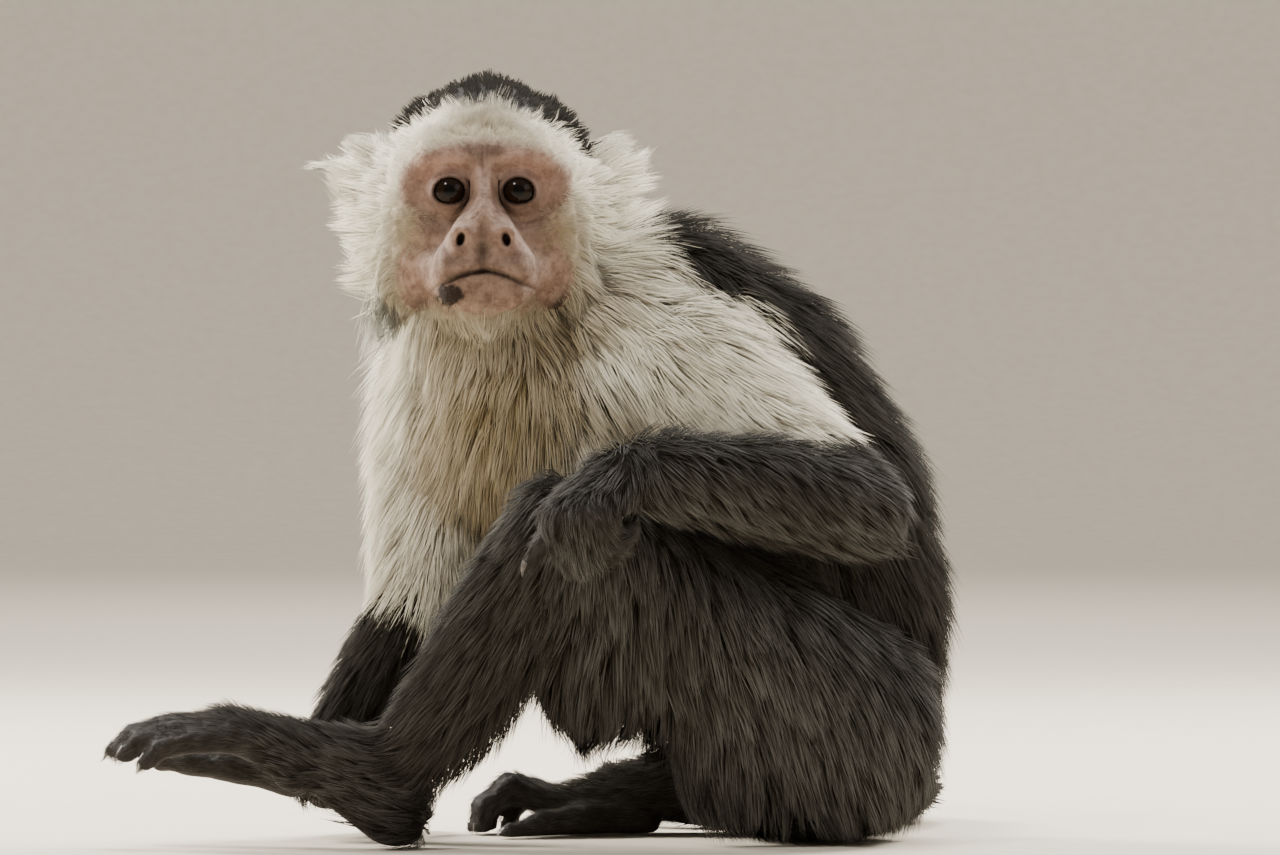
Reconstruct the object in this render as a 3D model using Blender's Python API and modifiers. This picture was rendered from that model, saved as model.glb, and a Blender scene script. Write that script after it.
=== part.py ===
"""A white-faced capuchin monkey, life size, sitting on the floor with its left forearm across its left knee.

The solids show the animal out to the tips of its coat. Each region of the body is a form: a few masses,
each the hull of some balls, fused by a voxel remesh and smoothed. A form gives way to those made before it
and is parted at its joints by thin cuts, so that neighbours meet face to face.

The body faces -X and its left side is towards -Y. The head is turned a quarter turn to the left, to -Y.
The origin is on the floor under the seat.
"""

import math

import bmesh
import bpy
from mathutils import Matrix, Vector

MM = 0.001
GAP = 0.3 * MM  # between neighbouring solids

# Lengths of the bones, from joint to joint.
HUMERUS = 94 * MM
FOREARM = 96 * MM
FEMUR = 136 * MM
TIBIA = 118 * MM
HAND = 78 * MM  # wrist to the tip of the third finger, laid straight
FOOT = 134 * MM  # heel to the tip of the third toe, laid straight
ANKLE_HEIGHT = 28 * MM  # above the sole
TAIL = 440 * MM

# Joints that the limbs hang from, and the middle of the head.
HEAD = Vector((-140.4, 0, 255)) * MM
SHOULDER_LEFT = Vector((-64, -22, 183)) * MM
SHOULDER_RIGHT = Vector((-152, 36, 179)) * MM
HIP_LEFT = Vector((-4, -31, 48)) * MM
HIP_RIGHT = Vector((-18, 31, 48)) * MM

EYE_RADIUS = 8.8 * MM
EYE_APART = 26.6 * MM
UP = Vector((0, 0, 1))
BIG = 1.0  # side of a cutter that passes right through the object


def millimetres(x, y, z):
    return Vector((x, y, z)) * MM


def towards(yaw, pitch):
    """The direction at yaw degrees from straight ahead (-X) round to the animal's left (-Y), and pitch up."""
    yaw, pitch = math.radians(yaw), math.radians(pitch)
    flat = math.cos(pitch)
    return Vector((-math.cos(yaw) * flat, -math.sin(yaw) * flat, math.sin(pitch)))


def head_point(left, ahead, up):
    """A place in the head, in millimetres from its middle. The face looks to -Y, so the head's left is +X."""
    return HEAD + millimetres(left, -ahead, up)


# ---------------------------------------------------------------- masses, forms and cuts


def ball(centre, *radii):
    """A ball of one radius, or an egg with a radius along each of X, Y and Z, all in millimetres."""
    return centre, Vector(radii * 3 if len(radii) == 1 else radii) * MM


def hull(bm, balls):
    """Adds the convex hull of some balls to bm: one ball, a tapered limb between two, or a fuller mass."""
    made = bmesh.new()
    for centre, radii in balls:
        at = Matrix.Translation(centre) @ Matrix.Diagonal((*radii, 1))
        bmesh.ops.create_icosphere(made, subdivisions=3, radius=1, matrix=at)
    found = bmesh.ops.convex_hull(made, input=made.verts[:])
    bmesh.ops.delete(made, geom=found["geom_interior"] + found["geom_unused"], context="VERTS")
    mesh = bpy.data.meshes.new("hull")
    made.to_mesh(mesh)
    made.free()
    bm.from_mesh(mesh)
    bpy.data.meshes.remove(mesh)


def chain(*balls):
    """The masses of a bent limb: a hull for each stretch between one ball and the next."""
    return list(zip(balls, balls[1:]))


def evaluated(obj):
    """The object's mesh with its modifiers applied."""
    bpy.context.view_layer.update()
    graph = bpy.context.evaluated_depsgraph_get()
    return bpy.data.meshes.new_from_object(obj.evaluated_get(graph))


def bake(obj):
    """Replaces the object's mesh by the evaluated one, keeps its largest piece and drops the modifiers."""
    mesh = evaluated(obj)
    obj.modifiers.clear()
    bm = bmesh.new()
    bm.from_mesh(mesh)
    keep_largest(bm)
    bmesh.ops.triangulate(bm, faces=bm.faces[:])
    bm.to_mesh(mesh)
    bm.free()
    obj.data = mesh
    return obj


def keep_largest(bm):
    """Deletes every loose piece but the one with the most vertices."""
    unseen, largest = set(bm.verts), []
    while unseen:
        piece = [unseen.pop()]
        for vertex in piece:
            for edge in vertex.link_edges:
                other = edge.other_vert(vertex)
                if other in unseen:
                    unseen.remove(other)
                    piece.append(other)
        largest = max(largest, piece, key=len)
    kept = set(largest)
    bmesh.ops.delete(bm, geom=[v for v in bm.verts if v not in kept], context="VERTS")


def new_object(name, mesh):
    obj = bpy.data.objects.new(name, mesh)
    MONKEY.objects.link(obj)
    return obj


def new_cutter(name, mesh):
    cutter = bpy.data.objects.new(name, mesh)
    CUTTERS.objects.link(cutter)
    cutter.hide_render = True
    cutter.display_type = "WIRE"
    return cutter


def mesh_of(name, bm):
    mesh = bpy.data.meshes.new(name)
    bm.to_mesh(mesh)
    bm.free()
    return mesh


def form(name, masses, voxel, smoothing, triangles):
    """One organic body: the masses fused, smoothed and thinned to about so many triangles."""
    bm = bmesh.new()
    for balls in masses:
        hull(bm, balls)
    obj = new_object(name, mesh_of(name, bm))
    remesh = obj.modifiers.new("fuse", "REMESH")
    remesh.mode = "VOXEL"
    remesh.voxel_size = voxel * MM
    smooth = obj.modifiers.new("smooth", "SMOOTH")
    smooth.factor = 0.5
    smooth.iterations = smoothing
    bake(obj)
    decimate = obj.modifiers.new("thin", "DECIMATE")
    decimate.ratio = min(1.0, triangles / len(obj.data.polygons))
    return bake(obj)


def boolean(obj, other, operation):
    modifier = obj.modifiers.new(operation.lower(), "BOOLEAN")
    modifier.operation = operation
    modifier.object = other
    return bake(obj)


def grown(obj):
    """A cutter one gap larger than obj, so that what it cuts stays clear of obj."""
    cutter = new_cutter("cutter_" + obj.name, obj.data.copy())
    displace = cutter.modifiers.new("gap", "DISPLACE")
    displace.mid_level = 0
    displace.strength = GAP
    return cutter


def bounds(obj):
    """The lowest and the highest value along each axis."""
    along = list(zip(*(vertex.co for vertex in obj.data.vertices)))
    return [min(values) for values in along], [max(values) for values in along]


def boxes_meet(a, b):
    (low_a, high_a), (low_b, high_b) = bounds(a), bounds(b)
    return all(low_a[k] <= high_b[k] and low_b[k] <= high_a[k] for k in range(3))


def half_space(point, normal):
    """A box that fills the side of the plane that normal points to."""
    turn = normal.to_track_quat("Z", "Y").to_matrix().to_4x4()
    bm = bmesh.new()
    bmesh.ops.create_cube(bm, size=BIG, matrix=turn @ Matrix.Translation((0, 0, BIG / 2)))
    bmesh.ops.translate(bm, vec=point, verts=bm.verts)
    return new_cutter("half_space", mesh_of("half_space", bm))


def part_at(obj, point, normal, beyond):
    """Parts obj with a thin cut across the plane. The side that normal points to becomes a new object."""
    normal = normal.normalized()
    far = new_object(beyond, obj.data.copy())
    boolean(far, half_space(point + normal * GAP / 2, normal), "INTERSECT")
    boolean(obj, half_space(point - normal * GAP / 2, normal), "DIFFERENCE")
    return far


def fit(obj):
    """Trims obj flat at the floor and cuts it clear of every form made before it."""
    boolean(obj, half_space(Vector((0, 0, 0)), -UP), "DIFFERENCE")
    for other in DONE:
        if boxes_meet(obj, other):
            boolean(obj, grown(other), "DIFFERENCE")
    DONE.append(obj)
    return obj


def material(name, colour, roughness):
    made = bpy.data.materials.new(name)
    made.use_nodes = True
    shader = made.node_tree.nodes["Principled BSDF"]
    shader.inputs["Base Color"].default_value = (*colour, 1)
    shader.inputs["Roughness"].default_value = roughness
    return made


def finish(obj, surface):
    obj.data.materials.clear()
    obj.data.materials.append(surface)
    obj.data.shade_smooth()
    obj.data.set_sharp_from_angle(angle=math.radians(50))


for old in list(bpy.data.objects):
    bpy.data.objects.remove(old)
MONKEY = bpy.data.collections.new("capuchin monkey")
CUTTERS = bpy.data.collections.new("cutters")
bpy.context.scene.collection.children.link(MONKEY)
bpy.context.scene.collection.children.link(CUTTERS)
CUTTERS.hide_render = True
DONE = []  # forms in the order in which they claim their space

PALE_COAT = material("pale coat", (0.72, 0.63, 0.46), 0.8)
DARK_COAT = material("dark coat", (0.035, 0.03, 0.027), 0.75)
DARK_SKIN = material("dark skin", (0.06, 0.05, 0.045), 0.6)
BARE_SKIN = material("ear skin", (0.55, 0.36, 0.3), 0.6)
EYE = material("eye", (0.03, 0.018, 0.01), 0.1)


# ---------------------------------------------------------------- eyes

for side, sign in (("left", 1), ("right", -1)):
    bm = bmesh.new()
    middle = HEAD + Vector((sign * EYE_APART / 2, -45.5 * MM, -2 * MM))
    at = Matrix.Translation(middle) @ Matrix.Rotation(math.radians(90), 4, "X")
    bmesh.ops.create_uvsphere(bm, u_segments=12, v_segments=8, radius=EYE_RADIUS, matrix=at)
    bmesh.ops.triangulate(bm, faces=bm.faces[:])
    eye = new_object("eye_" + side, mesh_of("eye_" + side, bm))
    DONE.append(eye)
    finish(eye, EYE)


# ---------------------------------------------------------------- head and ears


def both_sides(masses):
    """The masses, given for the head's left side, and their mirror images."""
    mirrored = [
        [(Vector((2 * HEAD.x - centre.x, centre.y, centre.z)), radii) for centre, radii in balls]
        for balls in masses
    ]
    return masses + mirrored


head_masses = [
    [ball(head_point(0, -3, 5), 42, 54, 43)],  # cranium with its coat
    [ball(head_point(0, 42, 12), 10), ball(head_point(0, 20, 22), 26)],  # brow to forehead
    [ball(head_point(0, 48, 5), 6.5), ball(head_point(0, 63, -15), 6.5)],  # bridge of the nose
    [ball(head_point(0, 40, -22), 22), ball(head_point(0, 62, -19), 8)],  # root of the muzzle
    [ball(head_point(0, 52, -41), 12), ball(head_point(0, 35, -38), 18)],  # chin
    [ball(head_point(0, 32, -44), 24, 20, 14), ball(head_point(0, 8, -36), 30)],  # beard and throat
] + both_sides(
    [
        [
            ball(head_point(20, 33, 12), 14),
            ball(head_point(25, 32, -12), 15),
            ball(head_point(26, 29, -34), 15),
            ball(head_point(6, 33, -10), 12),
        ],  # side of the face
        [ball(head_point(20, 42, 12), 9), ball(head_point(2, 43, 12), 10)],  # brow ridge
        [ball(head_point(24, 38, -13), 11), ball(head_point(12, 42, -19), 12)],  # cheekbone
        [ball(head_point(9, 58, -29), 13), ball(head_point(3, 56, -20), 13)],  # upper lip
        [ball(head_point(9, 55, -38), 10), ball(head_point(14, 40, -30), 14)],  # lower lip
        [
            ball(head_point(39, 2, -15), 24, 32, 30),
            ball(head_point(37, 0, 5), 23, 30, 25),
            ball(head_point(34, 4, -40), 22, 26, 20),
        ],  # ruff of long cheek hair
        # From the cheek to the ruff, and from the ruff to behind the ear.
        [ball(head_point(36, -2, 2), 22, 28, 24), ball(head_point(20, -24, -4), 28, 30, 34)],
        [ball(head_point(25, 29, -14), 15, 14, 24), ball(head_point(39, 6, -12), 20, 26, 26)],
    ]
)
fit(form("head", head_masses, voxel=2.0, smoothing=5, triangles=880))

for side, sign in (("left", 1), ("right", -1)):
    # An upright oval shell that flares out behind, hollowed in front by the concha.
    rim = [
        ball(head_point(sign * 52, -2, 12), 7, 9, 13),
        ball(head_point(sign * 59, -9, 14), 5, 8, 12),
        ball(head_point(sign * 53, -3, -3), 6, 7, 8),
    ]
    ear = form("ear_" + side, [rim], voxel=1.2, smoothing=3, triangles=110)
    hollow = [[ball(head_point(sign * 64, 4, 14), 7, 8, 10), ball(head_point(sign * 62, 2, 4), 6, 6, 7)]]
    concha = form("concha_" + side, hollow, voxel=1.6, smoothing=2, triangles=70)
    boolean(ear, concha, "DIFFERENCE")
    bpy.data.objects.remove(concha)
    fit(ear)


# ---------------------------------------------------------------- limbs


def limb(names, masses, bend, ends, end_cut, triangles, across=None):
    """A whole limb, parted at its bend into two named nodes.

    ends are the joints above and below the bend. The plane of the cut halves the bend's angle unless across
    gives its normal. end_cut is a point and a direction: what lies beyond, the hand or foot, is left out.
    """
    upper = fit(form(names[0], masses, voxel=2.2, smoothing=4, triangles=triangles))
    if across is None:
        across = (ends[1] - bend).normalized() - (ends[0] - bend).normalized()
    lower = part_at(upper, bend, across, names[1])
    DONE.append(lower)
    point, direction = end_cut
    boolean(lower, half_space(point - direction * GAP / 2, direction), "DIFFERENCE")


def digit(root, aim, bend_axis, lengths, bends, radii):
    """A finger or toe: a chain of bones, each turned further about bend_axis than the last."""
    place, direction = root, aim.normalized()
    balls = [ball(place, radii[0])]
    for length, bend, radius in zip(lengths, bends, radii[1:]):
        direction = Matrix.Rotation(math.radians(bend), 3, bend_axis) @ direction
        place = place + direction * length
        balls.append(ball(place, radius))
    return chain(*balls)


def hand_masses(wrist, along, back, sign, bends, thumb_out):
    """The palm and five digits. along points to the knuckles, back out of the back of the hand.

    sign is 1 where the thumb lies on the side that along x back points to, and -1 on the other.
    """
    along, back = along.normalized(), back.normalized()
    across = along.cross(back) * sign
    bend_axis = -along.cross(back)
    knuckles = [
        wrist + along * HAND * 0.46 * reach + (across * 6.4 * place + back * lift) * MM
        for place, reach, lift in ((1.5, 0.95, -1), (0.5, 1.0, 0.6), (-0.5, 0.97, 0.6), (-1.5, 0.9, -1.2))
    ]
    masses = [[ball(wrist, 11.5), *[ball(knuckle, 6) for knuckle in knuckles]]]
    for knuckle, share in zip(knuckles, (0.92, 1.0, 0.96, 0.8)):
        lengths = [HAND * share * part for part in (0.25, 0.17, 0.1)]
        masses += digit(knuckle, along, bend_axis, lengths, bends, (5.6, 5, 4.4, 3.6))
    root = wrist + (along * 9 + across * 7 - back * 2) * MM
    aim = along * math.cos(thumb_out) + across * math.sin(thumb_out) - back * 0.25
    thumb = digit(root, aim, bend_axis, (20 * MM, 13 * MM, 9 * MM), (0, 14, 14), (7, 5.4, 4.8, 3.6))
    return masses + thumb


def foot_masses(heel, along, up, sign, big_toe_bends, toe_bends):
    """The foot from the heel's sole. along points to the toes, up out of the instep.

    sign is 1 where the big toe lies on the side that along x up points to, and -1 on the other.
    """
    along, up = along.normalized(), up.normalized()
    across = along.cross(up) * sign
    bend_axis = -along.cross(up)

    def at(forward, inward, rise):
        """forward is a share of the foot's length, inward towards the big toe and rise in millimetres."""
        return heel + along * forward * FOOT + (across * inward + up * rise) * MM

    instep = ball(at(0.38, 1, 17), 12.5)
    joints = [at(f, i, r) for f, i, r in ((0.66, 9, 10), (0.665, 2.5, 10.5), (0.64, -4.5, 10), (0.6, -11, 9))]
    masses = [
        [ball(at(0.09, 0, 12.5), 13), ball(at(0.17, 0, ANKLE_HEIGHT / MM), 16), instep],
        [instep, *[ball(joint, 7.5) for joint in joints]],
        [instep, ball(at(0.42, -7, 9), 9), ball(at(0.4, 9, 9), 9)],
    ]
    for joint, share in zip(joints, (0.95, 1.0, 0.95, 0.84)):
        lengths = [FOOT * share * part for part in (0.15, 0.105, 0.07)]
        masses += digit(joint, along, bend_axis, lengths, toe_bends, (6.4, 5.4, 4.8, 3.8))
    lengths = [FOOT * part for part in (0.185, 0.145, 0.1)]
    aim = along + across * 0.42
    return masses + digit(at(0.41, 11, 6), aim, bend_axis, lengths, big_toe_bends, (9, 7.6, 6.6, 5))


# ---------------------------------------------------------------- arms

# Left arm: out to the side and back to the elbow, then forward across the knee, the hand hanging loose.
elbow = SHOULDER_LEFT + towards(150, -34) * HUMERUS
wrist = elbow + towards(20, 9) * FOREARM
hand_along = towards(44, -28)
hand_back = towards(44, 62)
masses = hand_masses(wrist, hand_along, hand_back, 1, (92, 74, 46), 0.4)
hand = fit(form("hand_left", masses, voxel=1.2, smoothing=2, triangles=380))
boolean(hand, half_space(wrist, -hand_along), "DIFFERENCE")
masses = chain(
    ball(SHOULDER_LEFT, 33),
    ball(SHOULDER_LEFT.lerp(elbow, 0.5), 29),
    ball(elbow, 21.5),
    ball(elbow.lerp(wrist, 0.4) + 3 * MM * UP, 24.5),
    ball(elbow.lerp(wrist, 0.75) + 2 * MM * UP, 21.5),
    ball(wrist, 16),
)
names = ("upper_arm_left", "forearm_left")
limb(names, masses, elbow, (SHOULDER_LEFT, wrist), (wrist, hand_along), 320)

# Right arm: straight down between the feet, the hand flat on the floor.
elbow = SHOULDER_RIGHT + towards(68, -63) * HUMERUS
wrist = elbow + towards(-10, -60) * FOREARM * 0.85
hand_along = towards(-130, -14)
masses = hand_masses(wrist, hand_along, towards(-130, 76), -1, (6, 10, 8), 0.4)
fit(form("hand_right", masses, voxel=1.2, smoothing=2, triangles=380))
masses = chain(
    ball(SHOULDER_RIGHT, 38),
    ball(SHOULDER_RIGHT.lerp(elbow, 0.5), 31),
    ball(elbow, 20),
    ball(elbow.lerp(wrist, 0.5), 16),
    ball(wrist, 12),
)
names = ("upper_arm_right", "forearm_right")
end_cut = (wrist, (wrist - elbow).normalized())
limb(names, masses, elbow, (SHOULDER_RIGHT, wrist), end_cut, 260)


# ---------------------------------------------------------------- trunk and neck

pelvis = ball(millimetres(-9, 2, 50), 46, 48, 49)
seat = ball(millimetres(-5, 2, 22), 39, 44, 30)
waist = ball(millimetres(-15, 5, 94), 56, 47, 46)
middle_back = ball(millimetres(-29, 8, 137), 61, 48, 45)
rib_cage = ball(millimetres(-64, 8, 172), 70, 48, 59)
withers = ball(millimetres(-68, 13, 206), 39, 37, 37)
nape = ball(millimetres(-116, 6, 212), 32, 32, 31)
breast = ball(millimetres(-124, -10, 165), 43, 36, 44)
bib = ball(millimetres(-150, 6, 160), 31, 30, 40)
trunk_masses = [
    *chain(seat, pelvis, waist, middle_back, rib_cage, withers, nape),
    [rib_cage, breast],
    [breast, bib],
    [breast, nape],
    [breast, waist],
    [ball(SHOULDER_LEFT, 25), rib_cage],
    [ball(SHOULDER_RIGHT, 29), bib],
    [ball(SHOULDER_RIGHT, 29), rib_cage],
]
trunk = fit(form("trunk", trunk_masses, voxel=3.0, smoothing=6, triangles=640))
part_at(trunk, millimetres(-22, 6, 96), towards(20, -72), "hips")
collar = form("collar", [[ball(millimetres(-128, 6, 232), 62, 58, 50)]], voxel=5, smoothing=2, triangles=160)
neck = new_object("neck", trunk.data.copy())
boolean(neck, collar, "INTERSECT")
boolean(trunk, grown(collar), "DIFFERENCE")
bpy.data.objects.remove(collar)
for name in ("hips", "neck"):
    DONE.append(bpy.data.objects[name])


# ---------------------------------------------------------------- legs

# Left leg: knee drawn up beside the chest, foot set forward on its heel with the toes raised.
knee = HIP_LEFT + towards(16, 36) * FEMUR
ankle = knee + towards(-4, -56) * TIBIA
foot_along = towards(0, 30)
foot_up = towards(0, 120)
heel = ankle - foot_along * FOOT * 0.17 - foot_up * ANKLE_HEIGHT
masses = foot_masses(heel, foot_along, foot_up, 1, (21, 4, 2), (33, 10, 28))
fit(form("foot_left", masses, voxel=1.3, smoothing=2, triangles=440))
haunch = ball(millimetres(-40, -42, 26), 34, 20, 26)
masses = chain(
    ball(HIP_LEFT, 44, 30, 46),
    ball(HIP_LEFT.lerp(knee, 0.5), 36, 30, 36),
    ball(knee, 22),
    ball(knee.lerp(ankle, 0.4) + millimetres(-3, 0, 0), 27, 22, 25),
    ball(knee.lerp(ankle, 0.85) + millimetres(1, 0, 0), 27, 19, 22),
    ball(ankle, 18),
) + [
    # Long hair that hangs from the thigh, down to the floor at the haunch.
    [ball(HIP_LEFT.lerp(knee, 0.5), 34, 26, 34), haunch, ball(millimetres(-97, -48, 60), 28, 14, 26)],
    [haunch, ball(HIP_LEFT, 40, 26, 44)],
]
names = ("thigh_left", "shin_left")
end_cut = (ankle - foot_along * 2 * MM, (ankle - knee).normalized())
limb(names, masses, knee, (HIP_LEFT, ankle), end_cut, 380, across=towards(8, 12))

# Right leg: knee drawn up against the belly, foot flat beneath it.
knee = HIP_RIGHT + towards(-16, 38) * FEMUR
heel = millimetres(-26, 50, -1.5)
foot_along = towards(3, 0)
ankle = heel + foot_along * FOOT * 0.17 + UP * ANKLE_HEIGHT
masses = foot_masses(heel, foot_along, UP, -1, (0, 6, 8), (-28, 66, 38))
fit(form("foot_right", masses, voxel=1.3, smoothing=2, triangles=400))
masses = chain(
    ball(HIP_RIGHT, 42, 32, 44),
    ball(HIP_RIGHT.lerp(knee, 0.5), 34, 28, 34),
    ball(knee, 21),
    ball(knee.lerp(ankle, 0.5), 22, 19, 24),
    ball(ankle, 16),
)
names = ("thigh_right", "shin_right")
end_cut = (ankle, (ankle - knee).normalized())
limb(names, masses, knee, (HIP_RIGHT, ankle), end_cut, 300)


# ---------------------------------------------------------------- tail


def tail_radius(share):
    """With its coat: an even taper that closes over the last stretch."""
    closing = max(0.0, share - 0.94) * 5
    return (16.5 - 5 * share) * MM * (1 - closing)


def tail_place(share):
    """The middle of the tail, share of the way along it: off the rump, then a flat spiral on the floor."""
    turn = math.radians(-46 + 420 * share)
    radius = (76 - 48 * share) * MM
    spiral = millimetres(-42, 126, 0) + radius * Vector((math.cos(turn), math.sin(turn), 0))
    spiral.z = tail_radius(share) - 1 * MM
    leaving = min(1.0, share / 0.1)
    return millimetres(6, 32, 22).lerp(spiral, leaving * leaving * (3 - 2 * leaving))


LENGTHS = 5
STEPS = 7
for index in range(LENGTHS):
    curve = bpy.data.curves.new("tail", "CURVE")
    curve.dimensions = "3D"
    curve.bevel_depth = 1
    curve.bevel_resolution = 2
    curve.use_fill_caps = True
    spline = curve.splines.new("POLY")
    spline.points.add(STEPS)
    for step, point in enumerate(spline.points):
        inset = (GAP / TAIL / 2) * (1 - 2 * step / STEPS)
        share = (index + step / STEPS) / LENGTHS + inset
        point.co = (*tail_place(share), 1)
        point.radius = tail_radius(share)
    tube = new_object("tube", curve)
    bm = bmesh.new()
    bm.from_mesh(evaluated(tube))
    bpy.data.objects.remove(tube)
    bmesh.ops.remove_doubles(bm, verts=bm.verts[:], dist=0.01 * MM)
    bmesh.ops.recalc_face_normals(bm, faces=bm.faces[:])
    name = f"tail_{index + 1}"
    fit(new_object(name, mesh_of(name, bm)))


# ---------------------------------------------------------------- materials of the rest

for obj in MONKEY.objects:
    if obj.name.startswith("ear"):
        finish(obj, BARE_SKIN)
    elif obj.name.startswith(("hand", "foot")):
        finish(obj, DARK_SKIN)
    elif obj.name.startswith(("head", "neck", "trunk", "upper_arm")):
        finish(obj, PALE_COAT)
    elif not obj.name.startswith("eye"):
        finish(obj, DARK_COAT)
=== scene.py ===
import math

import bmesh
import bpy
import numpy as np
from mathutils import Matrix, Vector
from mathutils.kdtree import KDTree


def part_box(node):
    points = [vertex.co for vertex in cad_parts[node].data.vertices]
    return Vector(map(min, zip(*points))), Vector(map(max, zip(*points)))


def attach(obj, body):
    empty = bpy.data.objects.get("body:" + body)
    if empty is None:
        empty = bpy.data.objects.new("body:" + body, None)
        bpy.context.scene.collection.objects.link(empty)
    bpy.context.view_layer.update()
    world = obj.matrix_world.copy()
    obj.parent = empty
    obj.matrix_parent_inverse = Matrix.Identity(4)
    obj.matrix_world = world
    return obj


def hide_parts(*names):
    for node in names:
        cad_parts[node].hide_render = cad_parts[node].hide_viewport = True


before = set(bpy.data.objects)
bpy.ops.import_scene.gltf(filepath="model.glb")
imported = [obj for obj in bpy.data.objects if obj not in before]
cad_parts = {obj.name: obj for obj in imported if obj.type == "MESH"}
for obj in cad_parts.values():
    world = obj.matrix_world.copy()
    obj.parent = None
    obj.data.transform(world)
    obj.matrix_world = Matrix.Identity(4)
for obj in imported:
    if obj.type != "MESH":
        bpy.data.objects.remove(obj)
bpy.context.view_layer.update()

# A still, life-size model of a white-faced capuchin monkey, sitting with its left forearm across its knee.
# It faces -X with its left side to -Y, and its head is turned to the left, to -Y. Places are in metres.
MM = 0.001
UP = Vector((0, 0, 1))


def millimetres(x, y, z):
    return Vector((x, y, z)) * MM


def to_mesh(bm, name):
    mesh = bpy.data.meshes.new(name)
    bm.to_mesh(mesh)
    bm.free()
    return mesh


def new_object(name, mesh):
    obj = bpy.data.objects.new(name, mesh)
    bpy.context.scene.collection.objects.link(obj)
    return obj


# ---------------------------------------------------------------- camera, light and studio
# The camera stands level at the monkey's shoulder height, nearly three metres off with a long lens.
# A pale paper sweep is floor and backdrop in one, turned up all round like a wide bowl, under soft boxes.

CAMERA_PLACE = Vector((-0.0804, -2.8, 0.1618))
VIEW_WIDTH = 0.50196  # what the frame holds across, at the monkey
camera_data = bpy.data.cameras.new("camera")
camera_data.sensor_width = 36
camera_data.lens = 36 * -CAMERA_PLACE.y / VIEW_WIDTH
camera = new_object("camera", camera_data)
camera.location = CAMERA_PLACE
camera.rotation_euler = (math.radians(90), 0, 0)
bpy.context.scene.camera = camera


def soft_box(name, place, aim, size, power, colour):
    data = bpy.data.lights.new(name, "AREA")
    data.shape = "DISK"
    data.size = size
    data.energy = power
    data.color = colour
    lamp = new_object(name, data)
    lamp.location = place
    lamp.rotation_euler = (Vector(aim) - Vector(place)).to_track_quat("-Z", "Y").to_euler()


MIDDLE = (-0.08, 0, 0.16)
soft_box("key", (-1.2, -1.5, 2.0), MIDDLE, 0.45, 32, (1, 0.98, 0.93))
soft_box("fill", (1.9, -1.6, 1.2), MIDDLE, 1.6, 11, (0.94, 0.97, 1))
soft_box("top", (0.1, 0.5, 2.3), MIDDLE, 1.3, 58, (1, 0.99, 0.97))
soft_box("rim_left", (-1.5, 0.8, 1.1), MIDDLE, 0.8, 90, (1, 0.96, 0.88))
soft_box("rim_right", (1.3, 1.0, 1.3), MIDDLE, 0.8, 76, (1, 0.96, 0.88))
soft_box("backdrop", (-0.2, 2.6, 2.2), (-0.2, 7.0, 0.4), 1.5, 70, (1, 0.97, 0.92))
world = bpy.data.worlds.new("studio")
world.use_nodes = True
world.node_tree.nodes["Background"].inputs["Color"].default_value = (0.95, 0.96, 1, 1)
world.node_tree.nodes["Background"].inputs["Strength"].default_value = 0.45
bpy.context.scene.world = world


class Value:
    """A socket of a material's nodes. Arithmetic on values adds their Math nodes."""

    def __init__(self, tree, socket):
        self.tree = tree
        self.socket = socket

    def math(self, operation, first, second=0.0):
        node = self.tree.nodes.new("ShaderNodeMath")
        node.operation = operation
        for socket, value in zip(node.inputs, (first, second)):
            connect(self.tree, socket, value)
        return Value(self.tree, node.outputs[0])

    def __add__(self, other):
        return self.math("ADD", self, other)

    def __radd__(self, other):
        return self.math("ADD", other, self)

    def __sub__(self, other):
        return self.math("SUBTRACT", self, other)

    def __rsub__(self, other):
        return self.math("SUBTRACT", other, self)

    def __mul__(self, other):
        return self.math("MULTIPLY", self, other)

    def __rmul__(self, other):
        return self.math("MULTIPLY", other, self)

    def clipped(self):
        return self.math("MINIMUM", self.math("MAXIMUM", self, 0.0), 1.0)

    def step(self, low, high):
        """0 below low, 1 above high and smooth between."""
        node = self.tree.nodes.new("ShaderNodeMapRange")
        node.interpolation_type = "SMOOTHSTEP"
        for socket, value in zip(node.inputs, (self, low, high)):
            connect(self.tree, socket, value)
        return Value(self.tree, node.outputs[0])


def connect(tree, socket, value):
    """Links a value to the socket, or sets the socket to a number, a colour or a vector."""
    if isinstance(value, Value):
        tree.links.new(value.socket, socket)
    else:
        socket.default_value = value


class Finish:
    """A material: one Principled shader, with what stays the same all over set on its sockets."""

    def __init__(self, name, **constants):
        self.material = bpy.data.materials.new(name)
        self.material.use_nodes = True
        self.tree = self.material.node_tree
        self.shader = self.tree.nodes["Principled BSDF"]
        for socket, value in constants.items():
            self.shader.inputs[socket.replace("_", " ")].default_value = value

    def node(self, kind, settings, sockets, output=0):
        made = self.tree.nodes.new("ShaderNode" + kind)
        for name, value in settings.items():
            setattr(made, name, value)
        for name, value in sockets.items():
            connect(self.tree, made.inputs[name], value)
        return Value(self.tree, made.outputs[output])

    def attribute(self, name):
        """The three parts of an attribute of the mesh."""
        whole = self.node("Attribute", {"attribute_name": name}, {}, "Vector")
        return [self.node("SeparateXYZ", {}, {"Vector": whole}, axis) for axis in "XYZ"]

    def noise(self, scale, detail):
        """Mottling about 0.5, by place in the model, with so many spots in a metre."""
        place = self.node("TexCoord", {}, {}, "Object")
        return self.node("TexNoise", {}, {"Vector": place, "Scale": scale, "Detail": detail})

    def mix(self, share, first, second):
        settings = {"data_type": "RGBA"}
        return self.node("Mix", settings, {0: share, 6: first, 7: second}, 2)

    def bump(self, height, distance, strength=1.0):
        return self.node("Bump", {}, {"Height": height, "Distance": distance, "Strength": strength})

    def set(self, **sockets):
        for name, value in sockets.items():
            connect(self.tree, self.shader.inputs[name.replace("_", " ")], value)
        return self.material


def colour(red, green, blue):
    return (red, green, blue, 1)


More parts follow.
